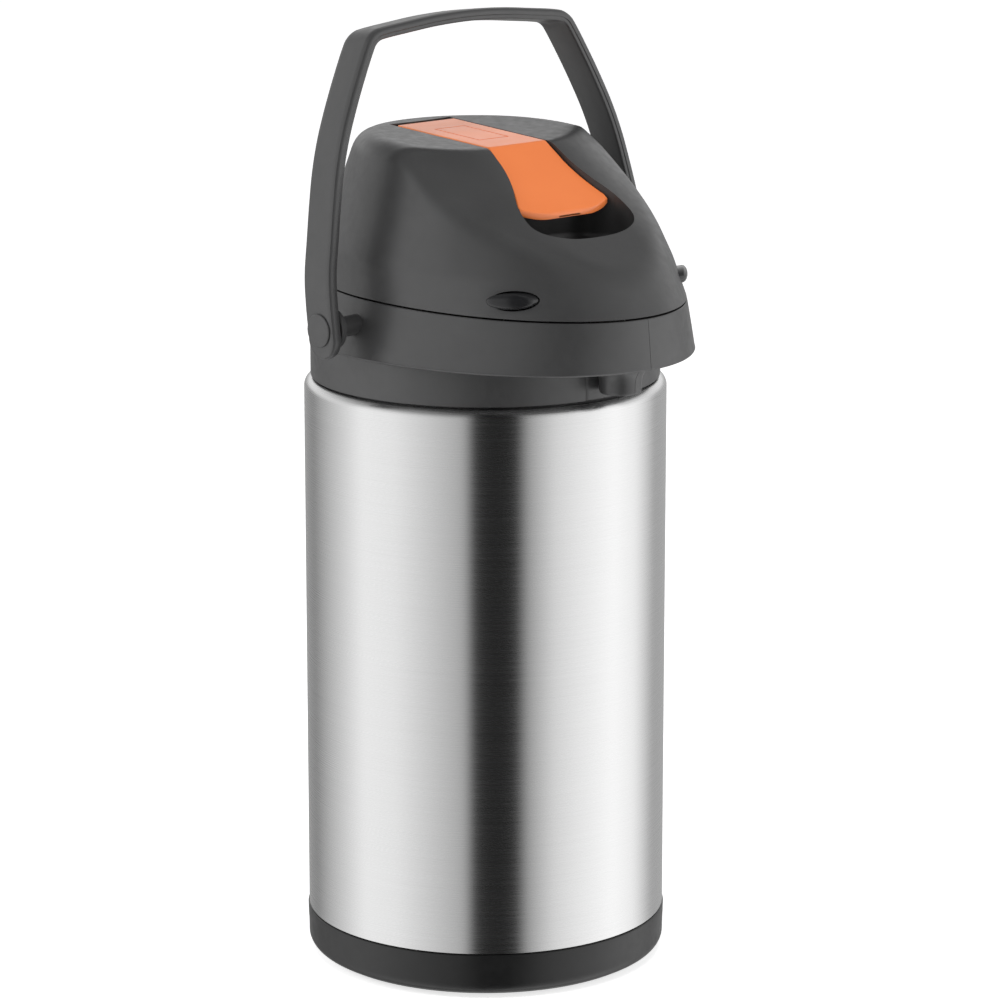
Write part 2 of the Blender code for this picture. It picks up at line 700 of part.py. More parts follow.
def make_lid_shell():
    shell = lid_form("lid_shell", 0.0, 40, SKIN_ELEVATIONS, CHARCOAL)
    inner = lid_form("lid_inside", LID_WALL, 28, INSIDE_ELEVATIONS, skirt=8.0)
    recess_block = outline("recess_block", recess_outline(2.4), 60.0)
    recess_block.location.z = (RECESS_FLOOR - 2.4 + 30.0) * MM
    cut(inner, recess_block)
    cut(shell, inner)
    recess = outline("finger_recess", recess_outline(), 60.0)
    recess.location.z = (RECESS_FLOOR + 30.0) * MM
    cut(shell, recess)
    slot_points = [(x, y if y < 40 else y + SLOT_REAR) for x, y in lever_outline(SLOT_GAP)]
    slot = outline("lever_slot", slot_points, 66.0)
    slot.location.z = 385.0 * MM
    cut(shell, slot)
    cut(shell, cylinder("barrel_space", 4.7, (-LEVER_HALF - 0.6, *LEVER_PIVOT),
                        (LEVER_HALF + 0.6, *LEVER_PIVOT)))
    for side in (-1, 1):
        cut(shell, button_form("button_hole_%s" % side_name(side), side, 30.0, 80.0, 0.6))
        cut(shell, box("lug_space_%s" % side_name(side), *lug_space(side)))
        cut(shell, cylinder("lug_relief_%s" % side_name(side), 5.6,
                            (side * 12.1, HINGE_Y, HINGE_Z), (side * 22.4, HINGE_Y, HINGE_Z), segments=20))
        join(shell, cylinder("lever_bearing_%s" % side_name(side), 4.4,
                             (side * 18.4, *LEVER_PIVOT), (side * 23.0, *LEVER_PIVOT), segments=20))
    join(shell, cylinder("lid_knuckle", 4.6, (-11.6, HINGE_Y, HINGE_Z),
                         (11.6, HINGE_Y, HINGE_Z), segments=20))
    join(shell, box("knuckle_web", (-11.6, 73.5, HINGE_Z + 1.5), (11.6, HINGE_Y, HINGE_Z + 6.0)))
    cut(shell, cylinder("lid_hinge_bore", HINGE_PIN_R + GAP, (-14.0, HINGE_Y, HINGE_Z),
                        (14.0, HINGE_Y, HINGE_Z), segments=16))
    cut(shell, cylinder("lever_pin_bore", 2.3, (-21.5, *LEVER_PIVOT), (30.0, *LEVER_PIVOT), segments=16))
    return shell


def lug_space(side):
    low = (min(side * 12.1, side * 22.4), 70.0, HINGE_Z - 3.0)
    high = (max(side * 12.1, side * 22.4), 90.0, HINGE_Z + 5.4)
    return low, high


def make_lid_base():
    half_width, forward, rearward = lid_reaches(LID_BASE_Z - seam_rise(0.0))
    inset = LID_WALL + 1.2
    low = plan_ring(LID_BASE_Z, half_width - inset, forward - inset - 11.0, rearward - inset - 3.0)
    high = plan_ring(LID_BASE_Z + LID_BASE_T, half_width - inset, forward - inset - 12.0,
                     rearward - inset - 3.0)
    plate = loft("lid_base", [low, high], BLACK)
    for side in (-1, 1):
        join(plate, box("spring_stop_%s" % side_name(side),
                        (min(side * 19.0, side * 22.0), BUTTON_Y - 6.0, LID_BASE_Z + 1.0),
                        (max(side * 19.0, side * 22.0), BUTTON_Y + 6.0, BUTTON_Z + 5.0)))
        cut(plate, box("button_space_%s" % side_name(side),
                       (min(side * 22.5, side * 75.0), BUTTON_Y - 11.0, 300.0),
                       (max(side * 22.5, side * 75.0), BUTTON_Y + 11.0, 340.0)))
    cut(plate, cylinder("air_way", 3.6, (0, AIR_Y, 310.0), (0, AIR_Y, 330.0), segments=20))
    for x, y in LID_SCREWS:
        cut(plate, cylinder("lid_screw_hole_%d_%d" % (x, y), 2.0, (x, y, 310.0), (x, y, 330.0), segments=12))


def make_lid_screws():
    for index, (x, y) in enumerate(LID_SCREWS):
        top, head = LID_BASE_Z + LID_BASE_T + 4.0, LID_BASE_Z - GAP
        profile = [(0.0, top), (1.7, top), (1.7, head), (3.4, head), (3.4, head - 1.4),
                   (2.4, head - 2.2), (0.0, head - 2.2)]
        turned("lid_screw_%d" % (index + 1), profile, BRIGHT, closed=False, segments=12, at=(x, y))


def make_pump():
    """Bellows, spring and valve under the plunger."""
    floor = LID_BASE_Z + LID_BASE_T + GAP
    folds = 4
    pitch = (BELLOWS_TOP - floor) / folds
    outer = [(PUMP_R - 4.0, BELLOWS_TOP)]
    for fold in range(folds):
        top = BELLOWS_TOP - fold * pitch
        outer += [(PUMP_R, top - pitch * 0.5), (PUMP_R - 4.0, top - pitch)]
    inner = [(r - 0.9, z) for r, z in outer]
    turned("bellows", outer + inner[::-1], SILICONE, at=(0.0, PUMP_Y), segments=20)
    ring("bellows_ring", PUMP_R + 0.6, PUMP_R + 4.0, floor, floor + 3.0, BLACK, segments=20,
         at=(0.0, PUMP_Y))
    turned("air_valve", [(0.0, floor + 1.0), (4.6, floor + 1.0), (5.0, floor), (0.0, floor)],
           SILICONE, closed=False, segments=20, at=(0.0, AIR_Y))
    coil = []
    turns, steps = 4, 10
    low, high = floor + 1.6, BELLOWS_TOP - 1.6
    for i in range(turns * steps + 1):
        angle = math.tau * i / steps
        rise = min(max((i - steps / 2) / ((turns - 1) * steps), 0.0), 1.0)
        coil.append((SPRING_R * math.cos(angle), PUMP_Y + SPRING_R * math.sin(angle),
                     low + (high - low) * rise))
    tube("pump_spring", spread_ends(coil, 1.0), 0.8, BRIGHT, resolution=1)
    gasket = [(8.6, LID_BASE_Z - GAP), (8.6, 318.0), (7.4, 316.0), (5.4, 316.0), (4.4, 318.0),
              (4.4, LID_BASE_Z - GAP)]
    turned("lid_gasket", gasket, SILICONE, segments=FINE, at=(0.0, AIR_Y))


def spread_ends(points, gap):
    """Lift the flat end turns of a coil a little, so that the wire doesn't meet itself."""
    count = len(points)
    half = 8
    spread = []
    for i, (x, y, z) in enumerate(points):
        down = max(half - i, 0) / half
        up = max(i - (count - 1 - half), 0) / half
        spread.append((x, y, z + (up - down) * gap * 0.5))
    return spread


def make_plunger():
    stem_top = lever_underside(PUMP_Y) - GAP
    disc = [(0.0, 351.0), (PUMP_R - 3.5, 351.0), (PUMP_R - 2.5, 350.0), (PUMP_R - 2.5, BELLOWS_TOP + GAP),
            (0.0, BELLOWS_TOP + GAP)]
    plunger = turned("plunger", disc, NATURAL, closed=False, segments=MEDIUM, at=(0.0, PUMP_Y))
    join(plunger, box("plunger_stem", (-9.0, PUMP_Y - 3.0, 349.0), (9.0, PUMP_Y + 3.0, stem_top - 3.0)))
    join(plunger, cylinder("plunger_nose", 3.0, (-9.0, PUMP_Y, stem_top - 3.0),
                           (9.0, PUMP_Y, stem_top - 3.0), segments=16))


def make_buttons():
    for side in (-1, 1):
        button = button_form("latch_button_%s" % side_name(side), side, BUTTON_IN, BUTTON_OUT, 0.0,
                             GLOSS)
        cut(button, beyond_face(side))
        bevel = button.modifiers.new("edges", "BEVEL")
        bevel.width = 1.2 * MM
        bevel.segments = 2
        bevel.limit_method = "ANGLE"
        hook = box("hook_%s" % side_name(side),
                   (min(side * (BUTTON_IN - 2.0), side * (BUTTON_IN + 2.0)), BUTTON_Y - 4.0, 313.5),
                   (max(side * (BUTTON_IN - 2.0), side * (BUTTON_IN + 2.0)), BUTTON_Y + 4.0, BUTTON_Z + 1.0))
        join(button, hook)
        coil = []
        turns, steps = 4, 6
        start, end = 23.0, BUTTON_IN - 3.2
        for i in range(turns * steps + 1):
            angle = math.tau * i / steps
            along = start + (end - start) * i / (turns * steps)
            coil.append((side * along, BUTTON_Y + 2.6 * math.cos(angle), BUTTON_Z + 2.6 * math.sin(angle)))
        tube("latch_spring_%s" % side_name(side), coil, 0.45, BRIGHT, resolution=1)


def beyond_face(side):
    """A block beyond the button's outer face, which runs along the lid's wall."""
    block = box("beyond_button_%s" % side_name(side), (-20, -30, -15), (20, 30, 15))
    turn = WALL_TURN if side > 0 else math.pi - WALL_TURN
    outward = Vector((math.cos(turn), math.sin(turn), 0.0))
    face = Vector((side * BUTTON_FACE, BUTTON_Y, BUTTON_Z))
    block.location = (face + outward * 20.0) * MM
    block.rotation_euler = (0.0, 0.0, turn)
    return block


def button_form(name, side, start, end, grow, surface=None):
    """An oval bar along X, through the lid's side wall."""
    points = []
    for i in range(28):
        angle = math.tau * i / 28
        points.append(((BUTTON_HEIGHT / 2 + grow) * math.sin(angle),
                       (BUTTON_LENGTH / 2 + grow) * math.cos(angle)))
    made = outline(name, points, end - start, surface)
    made.rotation_euler = (0.0, math.pi / 2, 0.0)
    made.location = (side * (start + end) / 2 * MM, BUTTON_Y * MM, BUTTON_Z * MM)
    return made


# ---------------------------------------------------------------- lever

def lever_top(y):
    """Height of the lever's upper face on its centre line."""
    if y >= PADDLE_START:
        return CREASE_Z + 0.4 + (y - CREASE_Y) * math.tan(TOP_TILT)
    return lever_top(PADDLE_START) - (PADDLE_START - y) * math.tan(PADDLE_SLOPE)


def lever_underside(y):
    return lever_top(y) - LEVER_T


def make_lever():
    """A plate that follows the top and the apron, with a hinge barrel and two ribs below."""
    stations = [LEVER_REAR, 40.0, 25.0, 10.0, 0.0, -10.0, -18.0, PADDLE_START, -25.0, -28.0,
                -32.0, -36.0, -40.0, -44.0, -48.0, -52.5]
    rings = []
    for y in stations:
        rings.append(lever_section(lever_half_width(y), y))
    tip_steps = [0.25, 0.5, 0.75, 0.92]
    for share in tip_steps:
        y = -52.5 + (PADDLE_TIP + 52.5) * share
        half = PADDLE_HALF * (1 - share) ** (1 / 2.4)
        rings.append(lever_section(half, y))
    lever = loft("lever", rings, ORANGE)
    pivot_y, pivot_z = LEVER_PIVOT
    join(lever, cylinder("lever_barrel", BARREL_R, (-17.0, pivot_y, pivot_z),
                         (17.0, pivot_y, pivot_z), segments=20))
    for side in (-1, 1):
        rear, front = pivot_y + 2.0, PADDLE_START + 2.6
        rib = outline("lever_rib_%s" % side_name(side),
                      [(rear, lever_underside(rear) + 1.5), (front, lever_underside(front) + 1.5),
                       (front, lever_underside(front) - 2.0), (rear, lever_underside(rear) - 6.0)],
                      RIB_T)
        rib.matrix_world = Matrix(((0, 0, 1, side * RIB_X * MM), (1, 0, 0, 0), (0, 1, 0, 0),
                                   (0, 0, 0, 1)))
        join(lever, rib)
    cut(lever, cylinder("lever_bore", 2.3, (-20.0, pivot_y, pivot_z), (20.0, pivot_y, pivot_z), segments=16))
    x_low, y_low, x_high, y_high = BADGE
    frame = box("badge_outer", (x_low, y_low, 0.0), (x_high, y_high, 4.0))
    field = box("badge_inner", (x_low + BADGE_GROOVE, y_low + BADGE_GROOVE, -1.0),
                (x_high - BADGE_GROOVE, y_high - BADGE_GROOVE, 5.0))
    middle = (y_low + y_high) / 2
    for block in (frame, field):
        block.rotation_euler = (TOP_TILT, 0.0, 0.0)
        block.location = (0.0, middle * MM, (lever_top(middle) + 2.0 - BADGE_DEPTH) * MM)
    cut(frame, field)
    cut(lever, frame)
    cylinder("lever_pin", LEVER_PIN_R, (-21.0, pivot_y, pivot_z), (22.6, pivot_y, pivot_z), BRIGHT, segments=16)


def lever_section(half, y):
    """A cross-section of the lever, from its right edge over the top to its left edge."""
    top, low = lever_top(y), lever_underside(y)
    edge = min(0.9, half * 0.4)
    points = [(half, y, low + edge), (half, y, top - edge), (half - edge, y, top)]
    points += [(x * (half - edge), y, top) for x in (0.33, -0.33)]
    points += [(-half + edge, y, top), (-half, y, top - edge), (-half, y, low + edge),
               (-half + edge, y, low)]
    points += [(x * (half - edge), y, low) for x in (-0.33, 0.33)]
    points.append((half - edge, y, low))
    return points


# ---------------------------------------------------------------- hinge and handle

def make_lid_hinge_pin():
    cylinder("lid_hinge_pin", HINGE_PIN_R, (-20.0, HINGE_Y, HINGE_Z), (23.0, HINGE_Y, HINGE_Z),
             BRIGHT, segments=16)


def handle_path():
    """Outer line of the handle from the right pivot over the top, as (x, distance above pivot)."""
    leg = [(97.5, -4.0), (97.5, 12.0), (96.6, 25.0), (93.6, 40.0), (90.5, 55.0), (86.9, 70.0),
           (82.2, 84.0), (76.0, 98.0), (69.5, 111.0)]
    corner = [(63.5, 122.0), (60.5, 126.2), (56.5, 128.8), (51.0, 130.0)]
    bar = [(38.0, 131.4), (20.0, 133.1), (0.0, 133.8)]
    return leg + corner + bar


def make_handle():
    """A flat strap bent over the top, with round ends on the pivots."""
    right = handle_path()
    path = right + [(-x, z) for x, z in reversed(right[:-1])]
    rings = []
    for i, (x, z) in enumerate(path):
        before, after = path[max(i - 1, 0)], path[min(i + 1, len(path) - 1)]
        along = Vector((after[0] - before[0], after[1] - before[1])).normalized()
        inward = Vector((-along.y, along.x)) * HANDLE_T
        rings.append(strap_section(Vector((x, z)), inward))
    handle = loft("handle", rings, CHARCOAL)
    place_on_pivot(handle)
    for side in (-1, 1):
        disc = cylinder("handle_end_%s" % side_name(side), HANDLE_WIDTH / 2,
                        (side * (HANDLE_HALF - HANDLE_T), 0, 4.0 - HANDLE_END + HANDLE_WIDTH / 2 - 4.0),
                        (side * HANDLE_HALF, 0, 4.0 - HANDLE_END + HANDLE_WIDTH / 2 - 4.0), segments=28)
        disc.matrix_world = pivot_frame() @ disc.matrix_basis
        join(handle, disc)
    cut(handle, cylinder("handle_bore", 3.5, (-110.0, PIVOT_Y, PIVOT_Z),
                         (110.0, PIVOT_Y, PIVOT_Z), segments=FINE))
    return handle


def strap_section(outer, inward):
    """The strap's cross-section, with its four edges rounded off."""
    half = HANDLE_WIDTH / 2
    inner = outer + inward
    edge = 0.22
    near, far = outer + inward * edge, outer + inward * (1 - edge)
    soft = half - 1.2
    rows = [(outer, soft), (near, half), (far, half), (inner, soft),
            (inner, -soft), (far, -half), (near, -half), (outer, -soft)]
    return [(point.x, y, point.y) for point, y in rows]


def pivot_frame():
    """The handle's own frame: its pivot axis, leaning back."""
    place = Matrix.Translation((0.0, PIVOT_Y * MM, PIVOT_Z * MM))
    return place @ Matrix.Rotation(-HANDLE_LEAN, 4, "X")


def place_on_pivot(made):
    made.matrix_world = pivot_frame()


def make_handle_pivots():
    for side in (-1, 1):
        cylinder("handle_pin_%s" % side_name(side), 3.0, (side * 80.6, PIVOT_Y, PIVOT_Z),
                 (side * 97.0, PIVOT_Y, PIVOT_Z), BRIGHT, segments=FINE)
        cylinder("handle_cap_%s" % side_name(side), 7.4, (side * (HANDLE_HALF + GAP), PIVOT_Y, PIVOT_Z),
                 (side * (HANDLE_HALF + 1.2), PIVOT_Y, PIVOT_Z), CHARCOAL, segments=24, end_radius=6.8)


# ---------------------------------------------------------------- joint axes

def axis_empty(name, point, pieces, parent=None):
    """An empty on a joint's axis that carries the pieces that move with the joint."""
    empty = bpy.data.objects.new(name, None)
    empty.empty_display_size = 10 * MM
    PARTS.objects.link(empty)
    empty.location = Vector(point) * MM
    if parent:
        empty.parent = parent
        empty.matrix_parent_inverse = Matrix.Translation(parent.location).inverted()
    for piece in pieces:
        made = bpy.data.objects[piece]
        made.parent = empty
        made.matrix_parent_inverse = Matrix.Translation(empty.location).inverted()
    return empty


make_outer_shell()
make_base_cup()
make_base_screws()
make_foot_pad()
make_flask()
make_bottom_cushion()
make_collar()
make_spout()
make_tubes()
make_neck_parts()
make_lid_shell()
make_lid_base()
make_lid_screws()
make_pump()
make_plunger()
make_buttons()
make_lever()
make_lid_hinge_pin()
make_handle()
make_handle_pivots()

# The lid and what it carries turn about the rear hinge; the lever, the plunger and the buttons
# move in the lid; the handle turns about its own pivots.
LID_PIECES = ["lid_shell", "lid_base", "bellows_ring", "air_valve", "lid_gasket", "lever_pin"]
LID_PIECES += ["lid_screw_%d" % (index + 1) for index in range(len(LID_SCREWS))]
LID_PIECES += ["bellows", "pump_spring", "latch_spring_left", "latch_spring_right"]

lid_axis = axis_empty("lid_axis", (0.0, HINGE_Y, HINGE_Z), LID_PIECES)
axis_empty("lever_axis", (0.0, *LEVER_PIVOT), ["lever"], lid_axis)
axis_empty("plunger_axis", (0.0, PUMP_Y, BELLOWS_TOP), ["plunger"], lid_axis)
for side in (-1, 1):
    axis_empty("latch_axis_%s" % side_name(side), (side * BUTTON_OUT, BUTTON_Y, BUTTON_Z),
               ["latch_button_%s" % side_name(side)], lid_axis)
axis_empty("handle_axis", (0.0, PIVOT_Y, PIVOT_Z), ["handle", "handle_cap_left", "handle_cap_right"])
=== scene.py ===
"""Looks of the lever airpot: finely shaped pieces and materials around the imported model.

Sizes are in millimetres and become metres when meshes are made. +Z is up, the spout points
along -Y, and the origin is on the body's axis at the foot.
"""

import json
import math

import bmesh
import bpy
from mathutils import Matrix, Vector


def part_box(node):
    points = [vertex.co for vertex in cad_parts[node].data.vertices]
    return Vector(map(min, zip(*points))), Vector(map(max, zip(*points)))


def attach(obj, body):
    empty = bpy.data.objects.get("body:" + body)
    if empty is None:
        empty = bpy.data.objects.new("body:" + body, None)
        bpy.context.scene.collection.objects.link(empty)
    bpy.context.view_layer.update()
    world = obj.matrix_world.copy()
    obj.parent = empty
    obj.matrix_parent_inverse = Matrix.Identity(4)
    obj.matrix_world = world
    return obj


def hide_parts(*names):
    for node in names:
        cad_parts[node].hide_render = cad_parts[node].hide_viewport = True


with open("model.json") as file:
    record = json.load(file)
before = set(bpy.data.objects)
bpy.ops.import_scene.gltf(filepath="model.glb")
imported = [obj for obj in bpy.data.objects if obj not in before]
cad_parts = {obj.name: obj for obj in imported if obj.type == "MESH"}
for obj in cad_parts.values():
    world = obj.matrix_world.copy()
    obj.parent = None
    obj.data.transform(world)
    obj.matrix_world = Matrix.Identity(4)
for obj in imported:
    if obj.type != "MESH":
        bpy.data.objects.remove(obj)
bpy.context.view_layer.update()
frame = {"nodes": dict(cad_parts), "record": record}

MM = 0.001
GAP = 0.3


def corner(node, side):
    """A node's low (0) or high (1) corner in millimetres."""
    return [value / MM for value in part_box(node)[side]]


JOINTS = {joint["name"]: joint for joint in frame["record"]["behaviour"]["joints"]}


def joint_place(name):
    return [value / MM for value in JOINTS[name]["pos_m"]]


# Body
BODY_R = corner("outer_shell", 1)[0]
BODY_TOP = corner("outer_shell", 1)[2]
BODY_LOW = corner("outer_shell", 0)[2]
SHOULDER_R = 4.5
JACKET_WALL = 0.8
BASE_TOP = BODY_LOW - GAP
FOOT_R = 77.6

# Collar
COLLAR_R = 80.0
COLLAR_BOTTOM = 273.4
BEAK_BOTTOM = 290.4
BEAK_A, BEAK_B = 80.5, 109.8
SEAM_A, SEAM_B, SEAM_C = 74.5, 107.0, 78.0
COLLAR_LEVEL = 302.0     # up to here the tilt is only half of the seam's
SEAM_FRONT = 314.2
SEAM_TILT = 0.030
SEAM_GAP = 0.9
COLLAR_WALL = 2.8
DECK_TOP = 304.0
DECK = 3.0
MOUTH_R = 41.0
BOSS_R, HUB_R, BOSS_T = 9.0, 4.4, 2.8

# Lid
BAND_TOP = 330.0
SIDE_LEAN = 0.26
FRONT_LEAN = 0.625
CREASE_Y, CREASE_Z = -24.0, 380.4
APRON_SLOPE = math.radians(34.1)
APRON_FLAT, APRON_SWEEP = 20.0, 0.012
TOP_DISH = 0.0007
TOP_TILT = math.radians(3.0)
TOP_EDGE, APRON_EDGE = 9.0, 3.5   # how wide the soft edges along the sides are
LID_WALL = 2.6
RECESS_FLOOR = 336.4
RECESS_HALF, RECESS_Y, RECESS_FRONT = 30.6, -62.5, -75.5

# Lever
LEVER_HALF = 17.4
LEVER_T = 3.2
LEVER_REAR = 41.5
LEVER_PIVOT = joint_place("lever_hinge")[1:]
PADDLE_SLOPE = math.radians(36.6)
PADDLE_START = -21.6
PADDLE_FLARE = -30.0     # where it starts to widen
PADDLE_ROUND = -52.5     # where its rounded front starts
PADDLE_TIP = -56.7
PADDLE_NECK, PADDLE_HALF = 18.4, 27.1
SLOT_GAP = 0.8
SLOT_REAR = 3.3          # more room behind the lever, for it to lift

# Buttons, spout, hinge and handle
BUTTON_Y, BUTTON_Z = -75.0, 322.8
BUTTON_LENGTH, BUTTON_HEIGHT = 15.0, 6.6
BUTTON_WALL, BUTTON_DOME, BUTTON_IN = 51.9, 3.4, 38.0
HOLE_GAP = 1.0
WALL_SLANT = 0.86     # how the wall leans outwards for each millimetre towards the back
NOZZLE_Y = -90.0
NOZZLE_BOTTOM = corner("spout_nozzle", 0)[2]
HINGE_Y, HINGE_Z = joint_place("lid_hinge")[1:]
HINGE_PIN_R = 2.0
LUG_R, LUG_IN, LUG_OUT = 4.6, 12.4, 22.0      # the collar's hinge lugs, from the middle plane
LEVER_BORE_R = 2.3
HANDLE_BORE_R, BOSS_BORE_R = 3.5, 3.3
PIVOT_Y, PIVOT_Z = joint_place("handle_swing")[1:]
HANDLE_LEAN = math.radians(7.5)
HANDLE_WIDTH = 18.4
HANDLE_T = 5.4
HANDLE_END = 13.2
HANDLE_HALF = corner("handle", 1)[0]

ROUND = 192
SMALL = 64
SIDES = {"left": -1, "right": 1}


# ---------------------------------------------------------------- materials

class Look:
    """A Principled material with the few nodes that its detail needs."""

    def __init__(self, name, roughness, metallic=0.0):
        self.material = bpy.data.materials.new(name)
        self.material.use_nodes = True
        self.tree = self.material.node_tree
        self.shader = self.tree.nodes["Principled BSDF"]
        self.shader.inputs["Roughness"].default_value = roughness
        self.shader.inputs["Metallic"].default_value = metallic
        self.place = self.tree.nodes.new("ShaderNodeTexCoord").outputs["Object"]

    def constant(self, name, value):
        self.shader.inputs[name].default_value = value

    def noise(self, scale, detail=2.0, stretch=(1.0, 1.0, 1.0), spread=0.5):
        """Noise in object space, with features about 1/scale metres across."""
        mapping = self.tree.nodes.new("ShaderNodeMapping")
        mapping.inputs["Scale"].default_value = [scale * value for value in stretch]
        self.tree.links.new(self.place, mapping.inputs["Vector"])
        noise = self.tree.nodes.new("ShaderNodeTexNoise")
        noise.inputs["Scale"].default_value = 1.0
        noise.inputs["Detail"].default_value = detail
        noise.inputs["Roughness"].default_value = spread
        self.tree.links.new(mapping.outputs["Vector"], noise.inputs["Vector"])
        return noise.outputs["Fac"]

    def remap(self, value, low, high):
        """Stretch a factor's middle to run from low to high."""
        node = self.tree.nodes.new("ShaderNodeMapRange")
        for name, number in (("From Min", 0.3), ("From Max", 0.7), ("To Min", low),
                             ("To Max", high)):
            node.inputs[name].default_value = number
        self.tree.links.new(value, node.inputs["Value"])
        return node.outputs["Result"]

    def colours(self, value, dark, light, start=0.3, end=0.7):
        ramp = self.tree.nodes.new("ShaderNodeValToRGB")
        ramp.color_ramp.elements[0].position = start
        ramp.color_ramp.elements[0].color = (*dark, 1.0)
        ramp.color_ramp.elements[1].position = end
        ramp.color_ramp.elements[1].color = (*light, 1.0)
        self.tree.links.new(value, ramp.inputs["Fac"])
        self.tree.links.new(ramp.outputs["Color"], self.shader.inputs["Base Color"])

    def rough(self, value, low, high):
        self.tree.links.new(self.remap(value, low, high), self.shader.inputs["Roughness"])

    def bump(self, *layers):
        """Bumps laid over each other, each a (height factor, distance in mm, strength)."""
        normal = None
        for height, distance, strength in layers:
            node = self.tree.nodes.new("ShaderNodeBump")
            node.inputs["Distance"].default_value = distance * MM
            node.inputs["Strength"].default_value = strength
            self.tree.links.new(height, node.inputs["Height"])
            if normal:
                self.tree.links.new(normal, node.inputs["Normal"])
            normal = node.outputs["Normal"]
        self.tree.links.new(normal, self.shader.inputs["Normal"])


def plastic(name, dark, light, roughness, grain, grain_height, strength=0.3, shine=0.45):
    """Moulded plastic: a fine spark-eroded grain, and a slow drift of tone and gloss."""
    look = Look(name, roughness)
    look.colours(look.noise(38.0, 3.0), dark, light)
    look.rough(look.noise(260.0, 2.0), roughness - 0.04, roughness + 0.05)
    look.bump((look.noise(grain, 2.0), grain_height, strength), (look.noise(120.0), 0.02, 0.08))
    look.constant("Specular IOR Level", shine)
    return look.material


def brushed_steel():
    """Steel brushed round the body: hairlines run level, so highlights stand upright."""
    look = Look("jacket_brushed", 0.3, 1.0)
    hair = look.noise(1.0, 5.0, (14.0, 14.0, 5200.0), 0.65)
    streak = look.noise(1.0, 3.0, (6.0, 6.0, 1300.0))
    cloud = look.noise(9.0, 2.0)
    mix = look.tree.nodes.new("ShaderNodeMath")
    mix.operation = "MULTIPLY_ADD"
    mix.inputs[1].default_value = 0.45
    look.tree.links.new(streak, mix.inputs[0])
    scaled = look.remap(hair, 0.0, 0.55)
    look.tree.links.new(scaled, mix.inputs[2])
    both = mix.outputs[0]
    look.colours(both, (0.62, 0.62, 0.62), (0.69, 0.69, 0.69), 0.15, 0.85)
    look.rough(both, 0.23, 0.29)
    look.bump((hair, 0.002, 0.12), (cloud, 0.05, 0.02))
    look.constant("Anisotropic", 0.9)
    look.constant("Anisotropic Rotation", 0.25)
    tangent = look.tree.nodes.new("ShaderNodeTangent")
    tangent.direction_type = "RADIAL"
    tangent.axis = "Z"
    look.tree.links.new(tangent.outputs["Tangent"], look.shader.inputs["Tangent"])
    return look.material


def smooth_steel(name, roughness, dark, light):
    """Drawn or plated steel with faint level marks."""
    look = Look(name, roughness, 1.0)
    look.colours(look.noise(60.0, 3.0), dark, light)
    look.rough(look.noise(900.0, 2.0, (1.0, 1.0, 3.0)), roughness - 0.05, roughness + 0.08)
    look.bump((look.noise(1400.0, 2.0, (1.0, 1.0, 4.0)), 0.004, 0.3))
    return look.material


def lever_plastic():
    """Smooth orange plastic under a thin gloss."""
    look = Look("lever_orange", 0.3)
    look.colours(look.noise(30.0, 2.0), (0.86, 0.215, 0.052), (0.89, 0.232, 0.060))
    look.rough(look.noise(90.0, 2.0), 0.28, 0.34)
    look.bump((look.noise(60.0, 1.0), 0.02, 0.05))
    look.constant("Coat Weight", 0.2)
    look.constant("Coat Roughness", 0.15)
    return look.material


def silicone():
    look = Look("milky_silicone", 0.5)
    look.colours(look.noise(45.0, 2.0), (0.70, 0.70, 0.66), (0.80, 0.80, 0.77))
    look.bump((look.noise(900.0), 0.01, 0.2))
    look.constant("Subsurface Weight", 0.2)
    look.constant("Subsurface Radius", (0.004, 0.004, 0.003))
    return look.material


LOOKS = {
    "jacket_steel": brushed_steel(),
    "flask_steel": smooth_steel("flask_drawn", 0.2, (0.66, 0.66, 0.66), (0.74, 0.74, 0.73)),
    "fastener_steel": smooth_steel("fastener_plated", 0.16, (0.70, 0.70, 0.71), (0.80, 0.80, 0.80)),
    "body_plastic": plastic("body_charcoal", (0.038, 0.038, 0.0385), (0.044, 0.044, 0.0445), 0.36,
                            2300.0, 0.008, shine=0.62),
    "base_plastic": plastic("base_black", (0.006, 0.006, 0.0062), (0.009, 0.009, 0.0092), 0.32,
                            1900.0, 0.006),
    "gloss_plastic": plastic("button_gloss", (0.011, 0.011, 0.012), (0.016, 0.016, 0.017), 0.14,
                             2500.0, 0.002, 0.1),
    "lever_plastic": lever_plastic(),
    "foot_rubber": plastic("foot_rubber_black", (0.016, 0.016, 0.016), (0.024, 0.024, 0.024), 0.8,
                           1500.0, 0.03),
    "silicone": silicone(),
    "natural_plastic": plastic("natural_food_grade", (0.66, 0.66, 0.62), (0.73, 0.73, 0.69), 0.42,
                               1800.0, 0.006),
}

for subpart in frame["record"]["subparts"]:
    carried = frame["nodes"][subpart["node"]]
    for place in carried.material_slots:
        place.material = LOOKS[subpart["material_slot"]]


# ---------------------------------------------------------------- mesh helpers (millimetres)

def add(name, form, slot, angle=32.0):
    """Make a smooth-shaded piece of a bmesh."""
    bmesh.ops.recalc_face_normals(form, faces=form.faces)
    mesh = bpy.data.meshes.new(name)
    form.to_mesh(mesh)
    form.free()
    made = bpy.data.objects.new(name, mesh)
    bpy.context.scene.collection.objects.link(made)
    if slot:
        mesh.materials.append(LOOKS[slot])
    mesh.shade_smooth()
    mesh.set_sharp_from_angle(angle=math.radians(angle))
    return made


